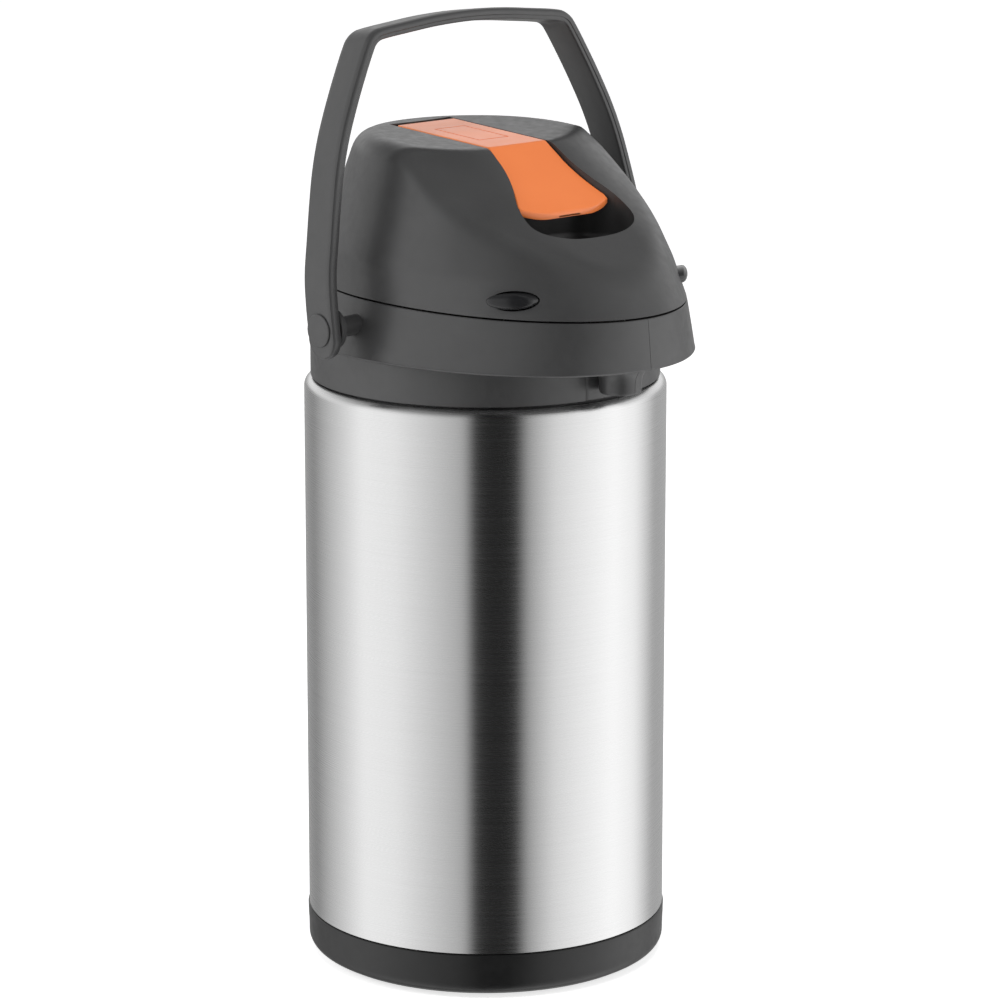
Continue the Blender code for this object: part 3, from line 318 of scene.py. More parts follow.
def loft(name, rings, slot=None, tip=None, loop=False):
    """Skin closed rings. A tip closes the last ring with a fan; a loop joins it to the first."""
    form = bmesh.new()
    rows = [[form.verts.new([value * MM for value in point]) for point in ring] for ring in rings]
    count = len(rows[0])
    pairs = list(zip(rows, rows[1:]))
    if loop:
        pairs.append((rows[-1], rows[0]))
    for lower, upper in pairs:
        for i in range(count):
            j = (i + 1) % count
            form.faces.new((lower[i], lower[j], upper[j], upper[i]))
    if not loop:
        form.faces.new(rows[0][::-1])
        if tip is None:
            form.faces.new(rows[-1])
    if tip is not None:
        point = form.verts.new([value * MM for value in tip])
        for i in range(count):
            form.faces.new((rows[-1][i], rows[-1][(i + 1) % count], point))
    return add(name, form, slot)


def revolve(name, profile, slot=None, closed=True, segments=ROUND, at=(0.0, 0.0)):
    """Turn (radius, height) points about a vertical axis; an open profile ends on the axis."""
    rings = []
    for i in range(segments):
        angle = math.tau * i / segments
        rings.append([(at[0] + r * math.cos(angle), at[1] + r * math.sin(angle), z)
                      for r, z in profile])
    form = bmesh.new()
    columns = [[form.verts.new([value * MM for value in point]) for point in ring]
               for ring in rings]
    last = len(profile) if closed else len(profile) - 1
    for i in range(segments):
        here, there = columns[i], columns[(i + 1) % segments]
        for j in range(last):
            k = (j + 1) % len(profile)
            form.faces.new((here[j], there[j], there[k], here[k]))
    if not closed:
        bmesh.ops.remove_doubles(form, verts=form.verts, dist=0.000001)
    return add(name, form, slot)


def arc(centre, radius, start, end, steps):
    points = []
    for i in range(steps + 1):
        angle = math.radians(start + (end - start) * i / steps)
        points.append((centre[0] + radius * math.cos(angle), centre[1] + radius * math.sin(angle)))
    return points


def cylinder(name, radius, start, end, segments=SMALL):
    form = bmesh.new()
    along = (Vector(end) - Vector(start)) * MM
    turn = along.to_track_quat("Z", "Y").to_matrix().to_4x4()
    place = Matrix.Translation((Vector(start) + Vector(end)) * MM / 2) @ turn
    bmesh.ops.create_cone(form, cap_ends=True, segments=segments, radius1=radius * MM,
                          radius2=radius * MM, depth=along.length, matrix=place)
    return add(name, form, None)


def box(name, low, high):
    form = bmesh.new()
    size = Matrix.Diagonal([(high[i] - low[i]) * MM for i in range(3)] + [1.0])
    place = Matrix.Translation([(high[i] + low[i]) * MM / 2 for i in range(3)])
    bmesh.ops.create_cube(form, size=1.0, matrix=place @ size)
    return add(name, form, None)


def prism(name, points, low, high):
    """An outline in the XY plane between two heights."""
    return loft(name, [[(x, y, z) for x, y in points] for z in (low, high)])


def boolean(body, tool, operation):
    modifier = body.modifiers.new(operation.lower(), "BOOLEAN")
    modifier.operation = operation
    modifier.solver = "EXACT"
    modifier.object = tool
    apply_modifiers(body)
    bpy.data.objects.remove(tool, do_unlink=True)


def cut(body, *tools):
    for tool in tools:
        boolean(body, tool, "DIFFERENCE")


def join(body, *tools):
    for tool in tools:
        boolean(body, tool, "UNION")


def apply_modifiers(body):
    graph = bpy.context.evaluated_depsgraph_get()
    mesh = bpy.data.meshes.new_from_object(body.evaluated_get(graph))
    old = body.data
    body.modifiers.clear()
    body.data = mesh
    bpy.data.meshes.remove(old)


def even_shading(body, angle=35.0):
    """Smooth shading that stays even across the cuts."""
    body.data.shade_smooth()
    body.data.set_sharp_from_angle(angle=math.radians(angle))
    weighted = body.modifiers.new("even", "WEIGHTED_NORMAL")
    weighted.keep_sharp = True
    weighted.weight = 80


def keep(piece, body, node):
    """Ride on a body and stand for a CAD node, hiding the node."""
    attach(piece, body)
    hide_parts(node)


# ---------------------------------------------------------------- body

def make_jacket():
    """The brushed steel tube with a rounded shoulder."""
    turn = (BODY_R - SHOULDER_R, BODY_TOP - SHOULDER_R)
    outer = [(BODY_R - SHOULDER_R - 1.5, BODY_TOP)] + arc(turn, SHOULDER_R, 90, 0, 12)
    steps = 24
    low = BODY_LOW + 0.25
    for i in range(1, steps + 1):
        outer.append((BODY_R, turn[1] + (low - turn[1]) * i / steps))
    outer.append((BODY_R - 0.2, BODY_LOW))
    inner = [(BODY_R - JACKET_WALL, BODY_LOW)]
    inner += arc(turn, SHOULDER_R - JACKET_WALL, 0, 90, 8)
    inner.append((BODY_R - SHOULDER_R - 1.5, BODY_TOP - JACKET_WALL))
    keep(revolve("steel_jacket", outer + inner, "jacket_steel"), "flask_body",
         "outer_shell")


def make_base():
    """The black cup that the jacket stands in."""
    rim_r = BODY_R + 0.5
    outer = [(BODY_R - JACKET_WALL - 0.5, BASE_TOP)]
    outer += arc((rim_r - 0.55, BASE_TOP - 0.55), 0.55, 90, 0, 5)
    outer += [(rim_r - 0.05, 19.0), (rim_r - 0.12, 16.0), (rim_r - 0.3, 12.6)]
    outer += arc((rim_r - 6.0, 7.2), 5.6, 2, -72, 14)
    outer += [(FOOT_R, 0.9), (FOOT_R - 0.6, 0.8), (71.0, 0.8), (71.0, 3.4), (56.0, 3.4),
              (56.0, 6.5)]
    inner = [(78.0, 6.5), (80.0, 9.0), (80.0, 27.0), (BODY_R - JACKET_WALL - 0.5, 27.0)]
    keep(revolve("base_ring", outer + inner, "base_plastic"), "flask_body",
         "base_cup")


# ---------------------------------------------------------------- plan curves of collar and lid

def plan_point(angle, half_width, forward, rearward):
    reach = forward if math.sin(angle) < 0 else rearward
    return half_width * math.cos(angle), reach * math.sin(angle)


def plan_ring(height, half_width, forward, rearward, count=ROUND, tilt=0.0):
    points = []
    for i in range(count):
        x, y = plan_point(math.tau * i / count, half_width, forward, rearward)
        points.append((x, y, height + tilt * (y + SEAM_B)))
    return points


def lid_reaches(height):
    """The lid's half width, forward reach and rearward reach at a height above the seam's line."""
    above = max(height - SEAM_FRONT, 0.0)
    lean = 0.5 * (math.hypot(height - BAND_TOP, 1.2) + height - BAND_TOP) * SIDE_LEAN
    return (SEAM_A - 0.08 * above - lean, SEAM_B - FRONT_LEAN * above,
            SEAM_C - 0.08 * above - lean)


def blend(a, b, radius):
    """The larger of two distances, rounded over where they are nearly equal."""
    near = max(radius - abs(a - b), 0.0) / radius
    return max(a, b) + near * near * radius / 4


def lid_distance(x, y, height):
    """Roughly how far a point lies outside the lid's skin; height is above the tilted seam."""
    half_width, forward, rearward = lid_reaches(height)
    reach = forward if y < 0 else rearward
    ratio = math.hypot(x / half_width, y / reach)
    if ratio < 0.05:
        side = -half_width
    else:
        slope = math.hypot(x / half_width ** 2, y / reach ** 2) / ratio
        side = (ratio - 1) / slope
    level = height + SEAM_TILT * (y + SEAM_B)
    middle = CREASE_Y - (CREASE_Z - level) / math.tan(APRON_SLOPE)
    sweep = APRON_SWEEP * max(abs(x) - APRON_FLAT, 0.0) ** 2
    apron = (middle + sweep - y) * math.sin(APRON_SLOPE)
    top = level - CREASE_Z - (y - CREASE_Y) * math.tan(TOP_TILT) - TOP_DISH * x * x
    on_apron = min(max((apron - top + 2.0) / 10.0, 0.0), 1.0)
    return blend(blend(apron, top, 1.6), side, TOP_EDGE + (APRON_EDGE - TOP_EDGE) * on_apron)


def lid_skin_point(bearing, elevation, inset):
    """Where a ray from the lid's middle meets its skin, or a wall's thickness inside it."""
    direction = Vector((math.cos(bearing) * math.cos(elevation),
                        math.sin(bearing) * math.cos(elevation), math.sin(elevation)))
    near, far = 5.0, 160.0
    for _ in range(26):
        middle = (near + far) / 2
        x, y, up = direction * middle
        if lid_distance(x, y, SEAM_FRONT + up) < -inset:
            near = middle
        else:
            far = middle
    x, y, up = direction * near
    return x, y, SEAM_FRONT + up + SEAM_TILT * (y + SEAM_B)


def lid_form(name, inset, columns, rows, slot=None, skirt=0.0):
    rings = []
    for j in range(rows):
        elevation = math.radians(86.0 * j / (rows - 1))
        rings.append([lid_skin_point(math.tau * i / columns, elevation, inset)
                      for i in range(columns)])
    if skirt:
        rings.insert(0, [(x, y, z - skirt) for x, y, z in rings[0]])
    return loft(name, rings, slot, tip=lid_skin_point(0.0, math.radians(90), inset))


# ---------------------------------------------------------------- collar and spout

def beak_plan(height, inset):
    """The collar's half width, forward reach and rearward reach at a height."""
    share = (height - BEAK_BOTTOM) / (SEAM_FRONT - BEAK_BOTTOM)
    half_width = BEAK_A + (SEAM_A - BEAK_A) * share - inset
    forward = BEAK_B + (SEAM_B + 0.4 - BEAK_B) * share - inset
    rearward = COLLAR_R + (SEAM_C - COLLAR_R) * share - inset
    return half_width, forward, rearward


def collar_form(name, low, inset, high_extra, slot=None, count=ROUND):
    """The collar's upper body, from level underneath to the tilted seam on top."""
    edge = 1.4 if inset == 0 else 0.0
    rings = []
    if edge:
        for degrees in range(0, 90, 15):
            shrink = edge * (1 - math.sin(math.radians(degrees)))
            lift = edge * (1 - math.cos(math.radians(degrees)))
            reach = [value - shrink for value in beak_plan(low, inset)]
            rings.append(plan_ring(low + lift, *reach, count=count))
    rings.append(plan_ring(low + edge, *beak_plan(low + edge, inset), count=count))
    middle = 5
    for i in range(1, middle):
        level = low + edge + (COLLAR_LEVEL - low - edge) * i / (middle - 1)
        rings.append(plan_ring(level, *beak_plan(level, inset), count=count,
                               tilt=SEAM_TILT / 2 * i / (middle - 1)))
    top = SEAM_FRONT - SEAM_GAP + high_extra
    rings.append(plan_ring((COLLAR_LEVEL + top) / 2, *beak_plan(308.0, inset), count=count,
                           tilt=SEAM_TILT * 0.75))
    rings.append(plan_ring(top - 0.5, *beak_plan(SEAM_FRONT - 0.5, inset), count=count,
                           tilt=SEAM_TILT))
    softened = [value - 0.4 for value in beak_plan(SEAM_FRONT, inset)]
    rings.append(plan_ring(top, *softened, count=count, tilt=SEAM_TILT))
    return loft(name, rings, slot)


def make_collar():
    body = collar_form("collar_body", BEAK_BOTTOM, 0.0, 0.0, "body_plastic")
    lower = [(0.0, 292.0), (COLLAR_R, 292.0), (COLLAR_R, 286.0), (COLLAR_R, 280.0)]
    lower += arc((COLLAR_R - 0.6, COLLAR_BOTTOM + 0.6), 0.6, 0, -90, 4)
    lower += [(77.0, COLLAR_BOTTOM), (77.0, 266.0), (0.0, 266.0)]
    join(body, revolve("lower_ring", lower, closed=False))
    for name, side in SIDES.items():
        join(body, boss("boss_" + name, side))
        start, end = sorted((side * LUG_IN, side * LUG_OUT))
        join(body, cylinder("hinge_lug_" + name, LUG_R, (side * LUG_IN, HINGE_Y, HINGE_Z),
                            (side * LUG_OUT, HINGE_Y, HINGE_Z)))
        join(body, box("hinge_web_" + name, (start, 74.0, HINGE_Z - 9.0),
                       (end, HINGE_Y, HINGE_Z - 1.5)))
    cut(body, collar_form("basin", DECK_TOP, COLLAR_WALL, 12.0, count=96))
    under = [(0.0, DECK_TOP - DECK), (74.0, DECK_TOP - DECK), (74.0, 260.0), (0.0, 260.0)]
    cut(body, revolve("neck_space", under, closed=False, segments=96))
    cut(body, prism("beak_space", beak_channel(), BEAK_BOTTOM + 3.0, DECK_TOP - DECK))
    cut(body, cylinder("mouth", MOUTH_R, (0, 0, 295.0), (0, 0, 310.0), segments=96))
    cut(body, cylinder("nozzle_hole", 7.6, (0, NOZZLE_Y, 285.0), (0, NOZZLE_Y, 297.0)))
    cut(body, cylinder("pipe_hole", 6.4, (0, NOZZLE_Y, 298.0), (0, NOZZLE_Y, 308.0)))
    cut(body, box("panel_opening", (-10.8, -90.0, 272.9), (10.8, -76.6, BEAK_BOTTOM - 0.4)))
    for name, side in SIDES.items():
        cut(body, cylinder("pin_bore_" + name, BOSS_BORE_R, (side * 80.0, PIVOT_Y, PIVOT_Z),
                           (side * 100.0, PIVOT_Y, PIVOT_Z)))
    cut(body, cylinder("hinge_bore", HINGE_PIN_R + GAP, (-20.5, HINGE_Y, HINGE_Z),
                       (30.0, HINGE_Y, HINGE_Z), segments=32))
    cut(body, cylinder("knuckle_space", 5.4, (-12.0, HINGE_Y, HINGE_Z), (12.0, HINGE_Y, HINGE_Z)))
    # The mould's parting line down the tip of the beak.
    line = (-0.09, -BEAK_B - 2.0, BEAK_BOTTOM - 1.0)
    cut(body, box("parting_line", line, (0.09, -BEAK_B + 3.3, SEAM_FRONT + 2.0)))
    even_shading(body)
    keep(body, "flask_body", "collar")


def pivot_ring(reach, radius):
    """A circle round the handle's axis."""
    return [(reach, PIVOT_Y + radius * math.cos(math.tau * i / SMALL),
             PIVOT_Z + radius * math.sin(math.tau * i / SMALL)) for i in range(SMALL)]


def boss(name, side):
    """The round flange that the handle turns against, on a narrower hub."""
    out = HANDLE_HALF - HANDLE_T - 0.8
    back = out - BOSS_T
    profile = [(70.0, HUB_R + 0.6), (back - 0.8, HUB_R), (back, HUB_R + 0.6), (back, BOSS_R - 0.5),
               (back + 0.4, BOSS_R), (out - 0.6, BOSS_R), (out, BOSS_R - 0.6)]
    return loft(name, [pivot_ring(side * reach, radius) for reach, radius in profile])


def beak_channel():
    """Plan of the hollow under the beak that holds the outlet pipe."""
    half, rear, bend, bow = 26.0, -40.0, -84.0, 16.0
    channel = [(-half, rear), (half, rear), (half, bend)]
    channel += [(half * math.cos(angle), bend - bow * math.sin(angle))
                for angle in (math.pi * i / 24 for i in range(1, 24))]
    return channel + [(-half, bend)]


def make_spout():
    rings = []
    half_angle = math.asin(10.5 / COLLAR_R)
    low, high = COLLAR_BOTTOM + 0.2, BEAK_BOTTOM - 0.9
    for i in range(25):
        angle = -math.pi / 2 - half_angle + 2 * half_angle * i / 24
        outer = COLLAR_R - (0.35 if i in (0, 24) else 0.05)
        rings.append([(r * math.cos(angle), r * math.sin(angle), z)
                      for r, z in ((outer - 0.3, low), (outer, low + 0.3), (outer, high - 0.3),
                                   (outer - 0.3, high), (78.0, high), (78.0, low))])
    panel = loft("spout_insert", rings, "body_plastic")
    keep(panel, "flask_body", "spout_panel")
    top = BEAK_BOTTOM - GAP
    outer = [(9.4, 296.4), (9.4, 294.0), (7.3, 294.0), (7.3, top), (13.0, top), (12.9, top - 0.4)]
    for i in range(1, 12):
        share = i / 12
        outer.append((9.5 + 3.3 * (1 - share) ** 2.4, top - 0.4 - 8.0 * share))
    outer += [(9.45, NOZZLE_BOTTOM + 1.6), (9.3, NOZZLE_BOTTOM + 0.6), (8.9, NOZZLE_BOTTOM + 0.1),
              (8.5, NOZZLE_BOTTOM)]
    bore = [(6.3, NOZZLE_BOTTOM), (6.0, NOZZLE_BOTTOM + 0.4), (5.4, 284.0), (5.4, 296.4)]
    nozzle = revolve("pouring_nozzle", outer + bore, "body_plastic", segments=96,
                     at=(0.0, NOZZLE_Y))
    cut(nozzle, cylinder("ring_clearance", COLLAR_R + 0.4, (0, 0, 270.0),
                         (0, 0, BEAK_BOTTOM - 0.1), segments=256))
    cut(nozzle, box("nozzle_line", (-0.1, NOZZLE_Y - 20.0, NOZZLE_BOTTOM - 1.0),
                    (0.1, NOZZLE_Y - 9.25, top + 0.2)))
    even_shading(nozzle)
    keep(nozzle, "flask_body", "spout_nozzle")


# ---------------------------------------------------------------- lid

def recess_outline(grow):
    """Plan of the finger hollow: a wide bow in front of the paddle, narrower under it."""
    half = []
    for i in range(25):
        angle = math.pi / 2 * i / 24
        half.append(((RECESS_HALF + grow) * math.sin(angle) ** 0.8,
                     RECESS_Y - (RECESS_Y - RECESS_FRONT + grow) * math.cos(angle) ** 0.9))
    half += [(30.4 + grow, -60.5), (29.9 + grow, -57.5), (29.0 + grow, -54.5), (27.8 + grow, -52.0),
             (26.0 + grow, -49.0), (24.0 + grow, -46.0), (21.0 + grow, -41.0),
             (14.0 + grow, -37.0 + grow), (4.7, -35.6 + grow)]
    return half + [(-x, y) for x, y in half[:0:-1]]


def lever_half_width(y):
    """Half the lever's width: straight, a slight taper past the crease, then the flare."""
    if y > PADDLE_FLARE:
        return LEVER_HALF + max(PADDLE_START - y, 0.0) / 8.4
    share = (PADDLE_FLARE - y) / (PADDLE_FLARE - PADDLE_ROUND)
    return PADDLE_NECK + (PADDLE_HALF - PADDLE_NECK) * min(share, 1.0) ** 1.7


def lever_outline(grow):
    """Plan of the lever, widened all round, for the slot that it lies in."""
    right = [LEVER_REAR, 20.0, 0.0, PADDLE_START]
    right += [PADDLE_START - 1.2 * i for i in range(1, 26)] + [PADDLE_ROUND]
    half = [(lever_half_width(y) + grow, y) for y in right]
    half[0] = (half[0][0], LEVER_REAR + grow)
    tip = []
    for i in range(1, 32):
        x = PADDLE_HALF * (1 - 2 * i / 32)
        bow = 1 - abs(x / PADDLE_HALF) ** 2.4
        tip.append((x * (PADDLE_HALF + grow) / PADDLE_HALF,
                    PADDLE_ROUND - grow + (PADDLE_TIP - PADDLE_ROUND) * bow))
    left = [(-x, y) for x, y in reversed(half)]
    return half + tip + left


def recess_tool(name):
    """The finger hollow's cutter: walls that lean out upwards, and a rounded floor."""
    rings = []
    for grow, z in ((-5.0, RECESS_FLOOR), (-2.4, RECESS_FLOOR + 0.5), (-0.9, RECESS_FLOOR + 2.0),
                    (0.0, RECESS_FLOOR + 5.0), (0.0, RECESS_FLOOR + 60.0)):
        rings.append([(x, y, z) for x, y in recess_outline(grow)])
    return loft(name, rings)


def make_lid():
    shell = lid_form("lid_cover", 0.0, 192, 84, "body_plastic")
    inner = lid_form("lid_inside", LID_WALL, 96, 30, skirt=8.0)
    cut(inner, prism("recess_block", recess_outline(2.4), RECESS_FLOOR - 2.4, RECESS_FLOOR + 60.0))
    cut(shell, inner)
    cut(shell, recess_tool("finger_recess"))
    slot = [(x, y if y < LEVER_REAR else y + SLOT_REAR) for x, y in lever_outline(SLOT_GAP)]
    cut(shell, prism("lever_slot", slot, 352.0, 418.0))
    cut(shell, cylinder("barrel_space", 4.7, (-LEVER_HALF - 0.6, *LEVER_PIVOT),
                        (LEVER_HALF + 0.6, *LEVER_PIVOT)))
    for name, side in SIDES.items():
        cut(shell, button_hole("button_hole_" + name, side))
        start, end = sorted((side * 12.1, side * 22.4))
        cut(shell, box("lug_space_" + name, (start, 70.0, HINGE_Z - 3.0),
                       (end, 90.0, HINGE_Z + 5.4)))
        cut(shell, cylinder("lug_relief_" + name, LUG_R + 1.0, (side * 12.1, HINGE_Y, HINGE_Z),
                            (side * 22.4, HINGE_Y, HINGE_Z)))
        join(shell, cylinder("lever_bearing_" + name, 4.4, (side * 18.4, *LEVER_PIVOT),
                             (side * 23.0, *LEVER_PIVOT)))
    join(shell, cylinder("lid_knuckle", 4.6, (-11.6, HINGE_Y, HINGE_Z), (11.6, HINGE_Y, HINGE_Z)))
    join(shell, box("knuckle_web", (-11.6, 73.5, HINGE_Z + 1.5), (11.6, HINGE_Y, HINGE_Z + 6.0)))
    cut(shell, cylinder("lid_hinge_bore", HINGE_PIN_R + GAP, (-14.0, HINGE_Y, HINGE_Z),
                        (14.0, HINGE_Y, HINGE_Z), segments=32))
    cut(shell, cylinder("lever_pin_bore", LEVER_BORE_R, (-21.5, *LEVER_PIVOT), (30.0, *LEVER_PIVOT),
                        segments=32))
    even_shading(shell)
    keep(shell, "lid", "lid_shell")


def side_oval(reach, half_length, half_height):
    """An upright oval round the button's centre, at a distance from the middle plane."""
    return [(reach, BUTTON_Y + half_length * math.cos(angle),
             BUTTON_Z + half_height * math.sin(angle))
            for angle in (math.tau * i / SMALL for i in range(SMALL))]


def button_hole(name, side):
    """The cutter for a button's hole through the lid's side."""
    return loft(name, [side_oval(side * reach, BUTTON_LENGTH / 2 + HOLE_GAP,
                                 BUTTON_HEIGHT / 2 + HOLE_GAP) for reach in (30.0, 80.0)])


def button_surface(name, side):
    """A squeeze button: an oval bar whose domed outer face runs along the lid's wall."""
    half_length, half_height = BUTTON_LENGTH / 2 + 0.4, BUTTON_HEIGHT / 2 + 0.3
    rings = [side_oval(side * BUTTON_IN, half_length, half_height)]
    steps = 14
    for j in range(steps):
        share = math.cos(math.pi / 2 * j / steps)
        dome = BUTTON_DOME * (1 - share * share) ** 0.5
        ring = []
        for i in range(SMALL):
            angle = math.tau * i / SMALL
            along = half_length * share * math.cos(angle)
            reach = BUTTON_WALL + WALL_SLANT * along + dome
            ring.append((side * reach, BUTTON_Y + along,
                         BUTTON_Z + half_height * share * math.sin(angle)))
        rings.append(ring)
    return loft(name, rings, "gloss_plastic",
                tip=(side * (BUTTON_WALL + BUTTON_DOME), BUTTON_Y, BUTTON_Z))


def make_buttons():
    for name, side in SIDES.items():
        button = button_surface("squeeze_button_" + name, side)
        start, end = sorted((side * (BUTTON_IN - 2.0), side * (BUTTON_IN + 2.0)))
        join(button, box("hook_" + name, (start, BUTTON_Y - 4.0, 313.5),
                         (end, BUTTON_Y + 4.0, BUTTON_Z + 1.0)))
        even_shading(button)
        keep(button, "latch_button_" + name, "latch_button_" + name)


# ---------------------------------------------------------------- lever

def lever_top(y):
    """The height of the lever's upper face."""
    if y >= PADDLE_START:
        return CREASE_Z + 0.4 + (y - CREASE_Y) * math.tan(TOP_TILT)
    return lever_top(PADDLE_START) - (PADDLE_START - y) * math.tan(PADDLE_SLOPE)


def lever_section(half, y, shrink=0.0):
    """A cross-section of the lever with rounded upper edges."""
    top, low = lever_top(y) - shrink, lever_top(y) - LEVER_T + shrink * 0.5
    edge = min(0.9, half * 0.4)
    right = []
    for i in range(6):
        angle = math.pi / 2 * i / 5
        right.append((half - edge + edge * math.cos(angle), y, top - edge + edge * math.sin(angle)))
    inner = [(half - edge) * (1 - 2 * i / 9) for i in range(1, 9)]
    points = [(half, y, low + edge)] + right + [(x, y, top) for x in inner]
    points += [(-x, y, z) for x, y, z in reversed(right)]
    points += [(-half, y, low + edge), (-half + edge, y, low)]
    points += [(-x, y, low) for x in inner]
    points.append((half - edge, y, low))
    return points


def make_lever():
    stations = [LEVER_REAR - 0.8, 38.0, 25.0, 10.0, 0.0, -10.0, -18.0, PADDLE_START + 1.2,
                PADDLE_START + 0.3, PADDLE_START - 0.3]
    stations += [PADDLE_START - 1.5 - 1.4 * i for i in range(21)]
    rings = [lever_section(lever_half_width(LEVER_REAR) - 0.5, LEVER_REAR, 0.5)]
    rings += [lever_section(lever_half_width(y), y) for y in stations]
    steps = 16
    for i in range(1, steps + 1):
        share = math.sin(math.pi / 2 * i / steps) * 0.99
        y = PADDLE_ROUND + (PADDLE_TIP - PADDLE_ROUND) * share
        half = PADDLE_HALF * (1 - share) ** (1 / 3.2)
        rings.append(lever_section(half, y, 1.5 * share ** 9))
    lever = loft("lever_plate", rings, "lever_plastic")
    join(lever, cylinder("lever_barrel", 4.0, (-17.0, *LEVER_PIVOT), (17.0, *LEVER_PIVOT)))
    rear, front = LEVER_PIVOT[0] + 2.0, PADDLE_START + 2.6
    for name, side in SIDES.items():
        under = [(rear, 1.5), (front, 1.5), (front, -2.0), (rear, -6.0)]
        rings = [[(side * 14.5 + offset, y, lever_top(y) - LEVER_T + drop) for y, drop in under]
                 for offset in (-1.0, 1.0)]
        join(lever, loft("lever_rib_" + name, rings))
    cut(lever, cylinder("lever_bore", LEVER_BORE_R, (-20.0, *LEVER_PIVOT), (20.0, *LEVER_PIVOT),
                        segments=32))
    cut(lever, badge_frame())
    even_shading(lever, 40.0)
    keep(lever, "lever", "lever")


def badge_frame():
    """The blank rectangle pressed into the lever's flat part."""
    depth, width = 0.45, 0.7
    rings = []
    half_x, rear, front = 9.0, 24.9, -6.2
    for grow, drop in ((0.0, depth), (0.0, -3.0), (-width, -3.0), (-width, depth)):
        corners = [(half_x + grow, front - grow), (half_x + grow, rear + grow),
                   (-half_x - grow, rear + grow), (-half_x - grow, front - grow)]
        rings.append([(x, y, lever_top(y) - drop) for x, y in corners])
    return loft("badge_groove", rings, loop=True)


# ---------------------------------------------------------------- handle

def smooth_path(points, steps):
    """A Catmull-Rom line through points."""
    path = []
    last = len(points) - 1
    for i in range(last):
        p0, p1 = Vector(points[max(i - 1, 0)]), Vector(points[i])
        p2, p3 = Vector(points[i + 1]), Vector(points[min(i + 2, last)])
        for j in range(steps):
            t = j / steps
            path.append(0.5 * (2 * p1 + (p2 - p0) * t + (2 * p0 - 5 * p1 + 4 * p2 - p3) * t * t
                               + (3 * p1 - p0 - 3 * p2 + p3) * t ** 3))
    path.append(Vector(points[-1]))
    return path


def handle_path():
    leg = [(97.5, -4.0), (97.5, 12.0), (96.6, 25.0), (93.6, 40.0), (90.5, 55.0), (86.9, 70.0),
           (82.2, 84.0), (76.0, 98.0), (69.5, 111.0)]
    corner_points = [(63.5, 122.0), (60.5, 126.2), (56.5, 128.8), (51.0, 130.0)]
    bar = [(38.0, 131.4), (20.0, 133.1), (0.0, 133.8)]
    right = leg + corner_points + bar
    return right + [(-x, z) for x, z in reversed(right[:-1])]


# The strap's edge from its soft outer face to its flat inner face: the share of its thickness,
# and how far the edge is drawn in there. There is a step along each side.
STRAP_EDGE = [(0.0, 3.0), (0.03, 1.7), (0.12, 0.7), (0.26, 0.15), (0.40, 0.0), (0.60, 0.0),
              (0.66, 0.35), (0.72, 0.35), (0.90, 0.45), (0.97, 0.8), (1.0, 1.6)]


def strap_section(outer, inward):
    points = []
    for depth, shrink in STRAP_EDGE:
        place = outer + inward * depth
        points.append((place.x, HANDLE_WIDTH / 2 - shrink, place.y))
    return points + [(x, -y, z) for x, y, z in reversed(points)]


def pivot_frame():
    """The handle's own frame: its pivot, leaning back by the angle that it rests at."""
    place = Matrix.Translation((0.0, PIVOT_Y * MM, PIVOT_Z * MM))
    return place @ Matrix.Rotation(-HANDLE_LEAN, 4, "X")


def round_end(name, side):
    """The leg's round lower end."""
    radius = HANDLE_WIDTH / 2
    centre = radius - HANDLE_END
    rings = []
    for depth, shrink in STRAP_EDGE:
        reach = side * (HANDLE_HALF - HANDLE_T * depth)
        rings.append([(reach, (radius - shrink) * math.cos(math.tau * i / 96),
                       centre + (radius - shrink) * math.sin(math.tau * i / 96))
                      for i in range(96)])
    return loft(name, rings)


def make_handle():
    path = smooth_path(handle_path(), 5)
    rings = []
    for i, point in enumerate(path):
        before, after = path[max(i - 1, 0)], path[min(i + 1, len(path) - 1)]
        along = (after - before).normalized()
        inward = Vector((-along.y, along.x)) * HANDLE_T
        rings.append(strap_section(point, inward))
    handle = loft("handle_strap", rings, "body_plastic")
    for name, side in SIDES.items():
        join(handle, round_end("handle_end_" + name, side))
    handle.data.transform(pivot_frame())
    cut(handle, cylinder("handle_bore", HANDLE_BORE_R, (-110.0, PIVOT_Y, PIVOT_Z),
                         (110.0, PIVOT_Y, PIVOT_Z)))
    even_shading(handle, 28.0)
    keep(handle, "handle", "handle")
    for name, side in SIDES.items():
        make_cap(name, side)


def make_cap(name, side):
    """A thin domed cap over the pivot, with a ring pressed into it."""
    base = HANDLE_HALF + GAP
    rise = corner("handle_cap_right", 1)[0] - base
    profile = [(0.0, 7.4), (0.35, 7.4), (0.6, 7.15), (0.72, 6.8), (0.62, 6.3), (0.66, 5.8),
               (0.82, 5.0), (0.92, 3.5), (1.0, 1.5)]
    rings = [pivot_ring(side * (base + rise * share), radius) for share, radius in profile]
    cap = loft("pivot_cap_" + name, rings, "body_plastic")
    keep(cap, "handle", "handle_cap_" + name)


make_jacket()
make_base()
make_collar()
make_spout()
make_lid()
make_buttons()
make_lever()
make_handle()


# ---------------------------------------------------------------- stage, light and camera

def make_floor():
    look = Look("floor_white", 0.6)
    look.colours(look.noise(4.0, 2.0), (0.80, 0.80, 0.80), (0.82, 0.82, 0.82))
    look.constant("Emission Color", (1.0, 1.0, 1.0, 1.0))
    look.constant("Emission Strength", 0.7)
    form = bmesh.new()
    bmesh.ops.create_grid(form, x_segments=8, y_segments=8, size=6.0)
    floor = add("floor", form, None)
    floor.location.z = -0.0002
    floor.data.materials.append(look.material)
    floor.visible_glossy = False


TARGET = Vector((0.0, 0.0, 0.2))
LIT = Vector((0.0, 0.0, 0.25))  # the point that the lights face
EYE = Vector((-1.2590, -1.4230, 0.6607))
FRAMING = (0.0067, 0.0127)      # how far the camera aims to the right of the target and above it


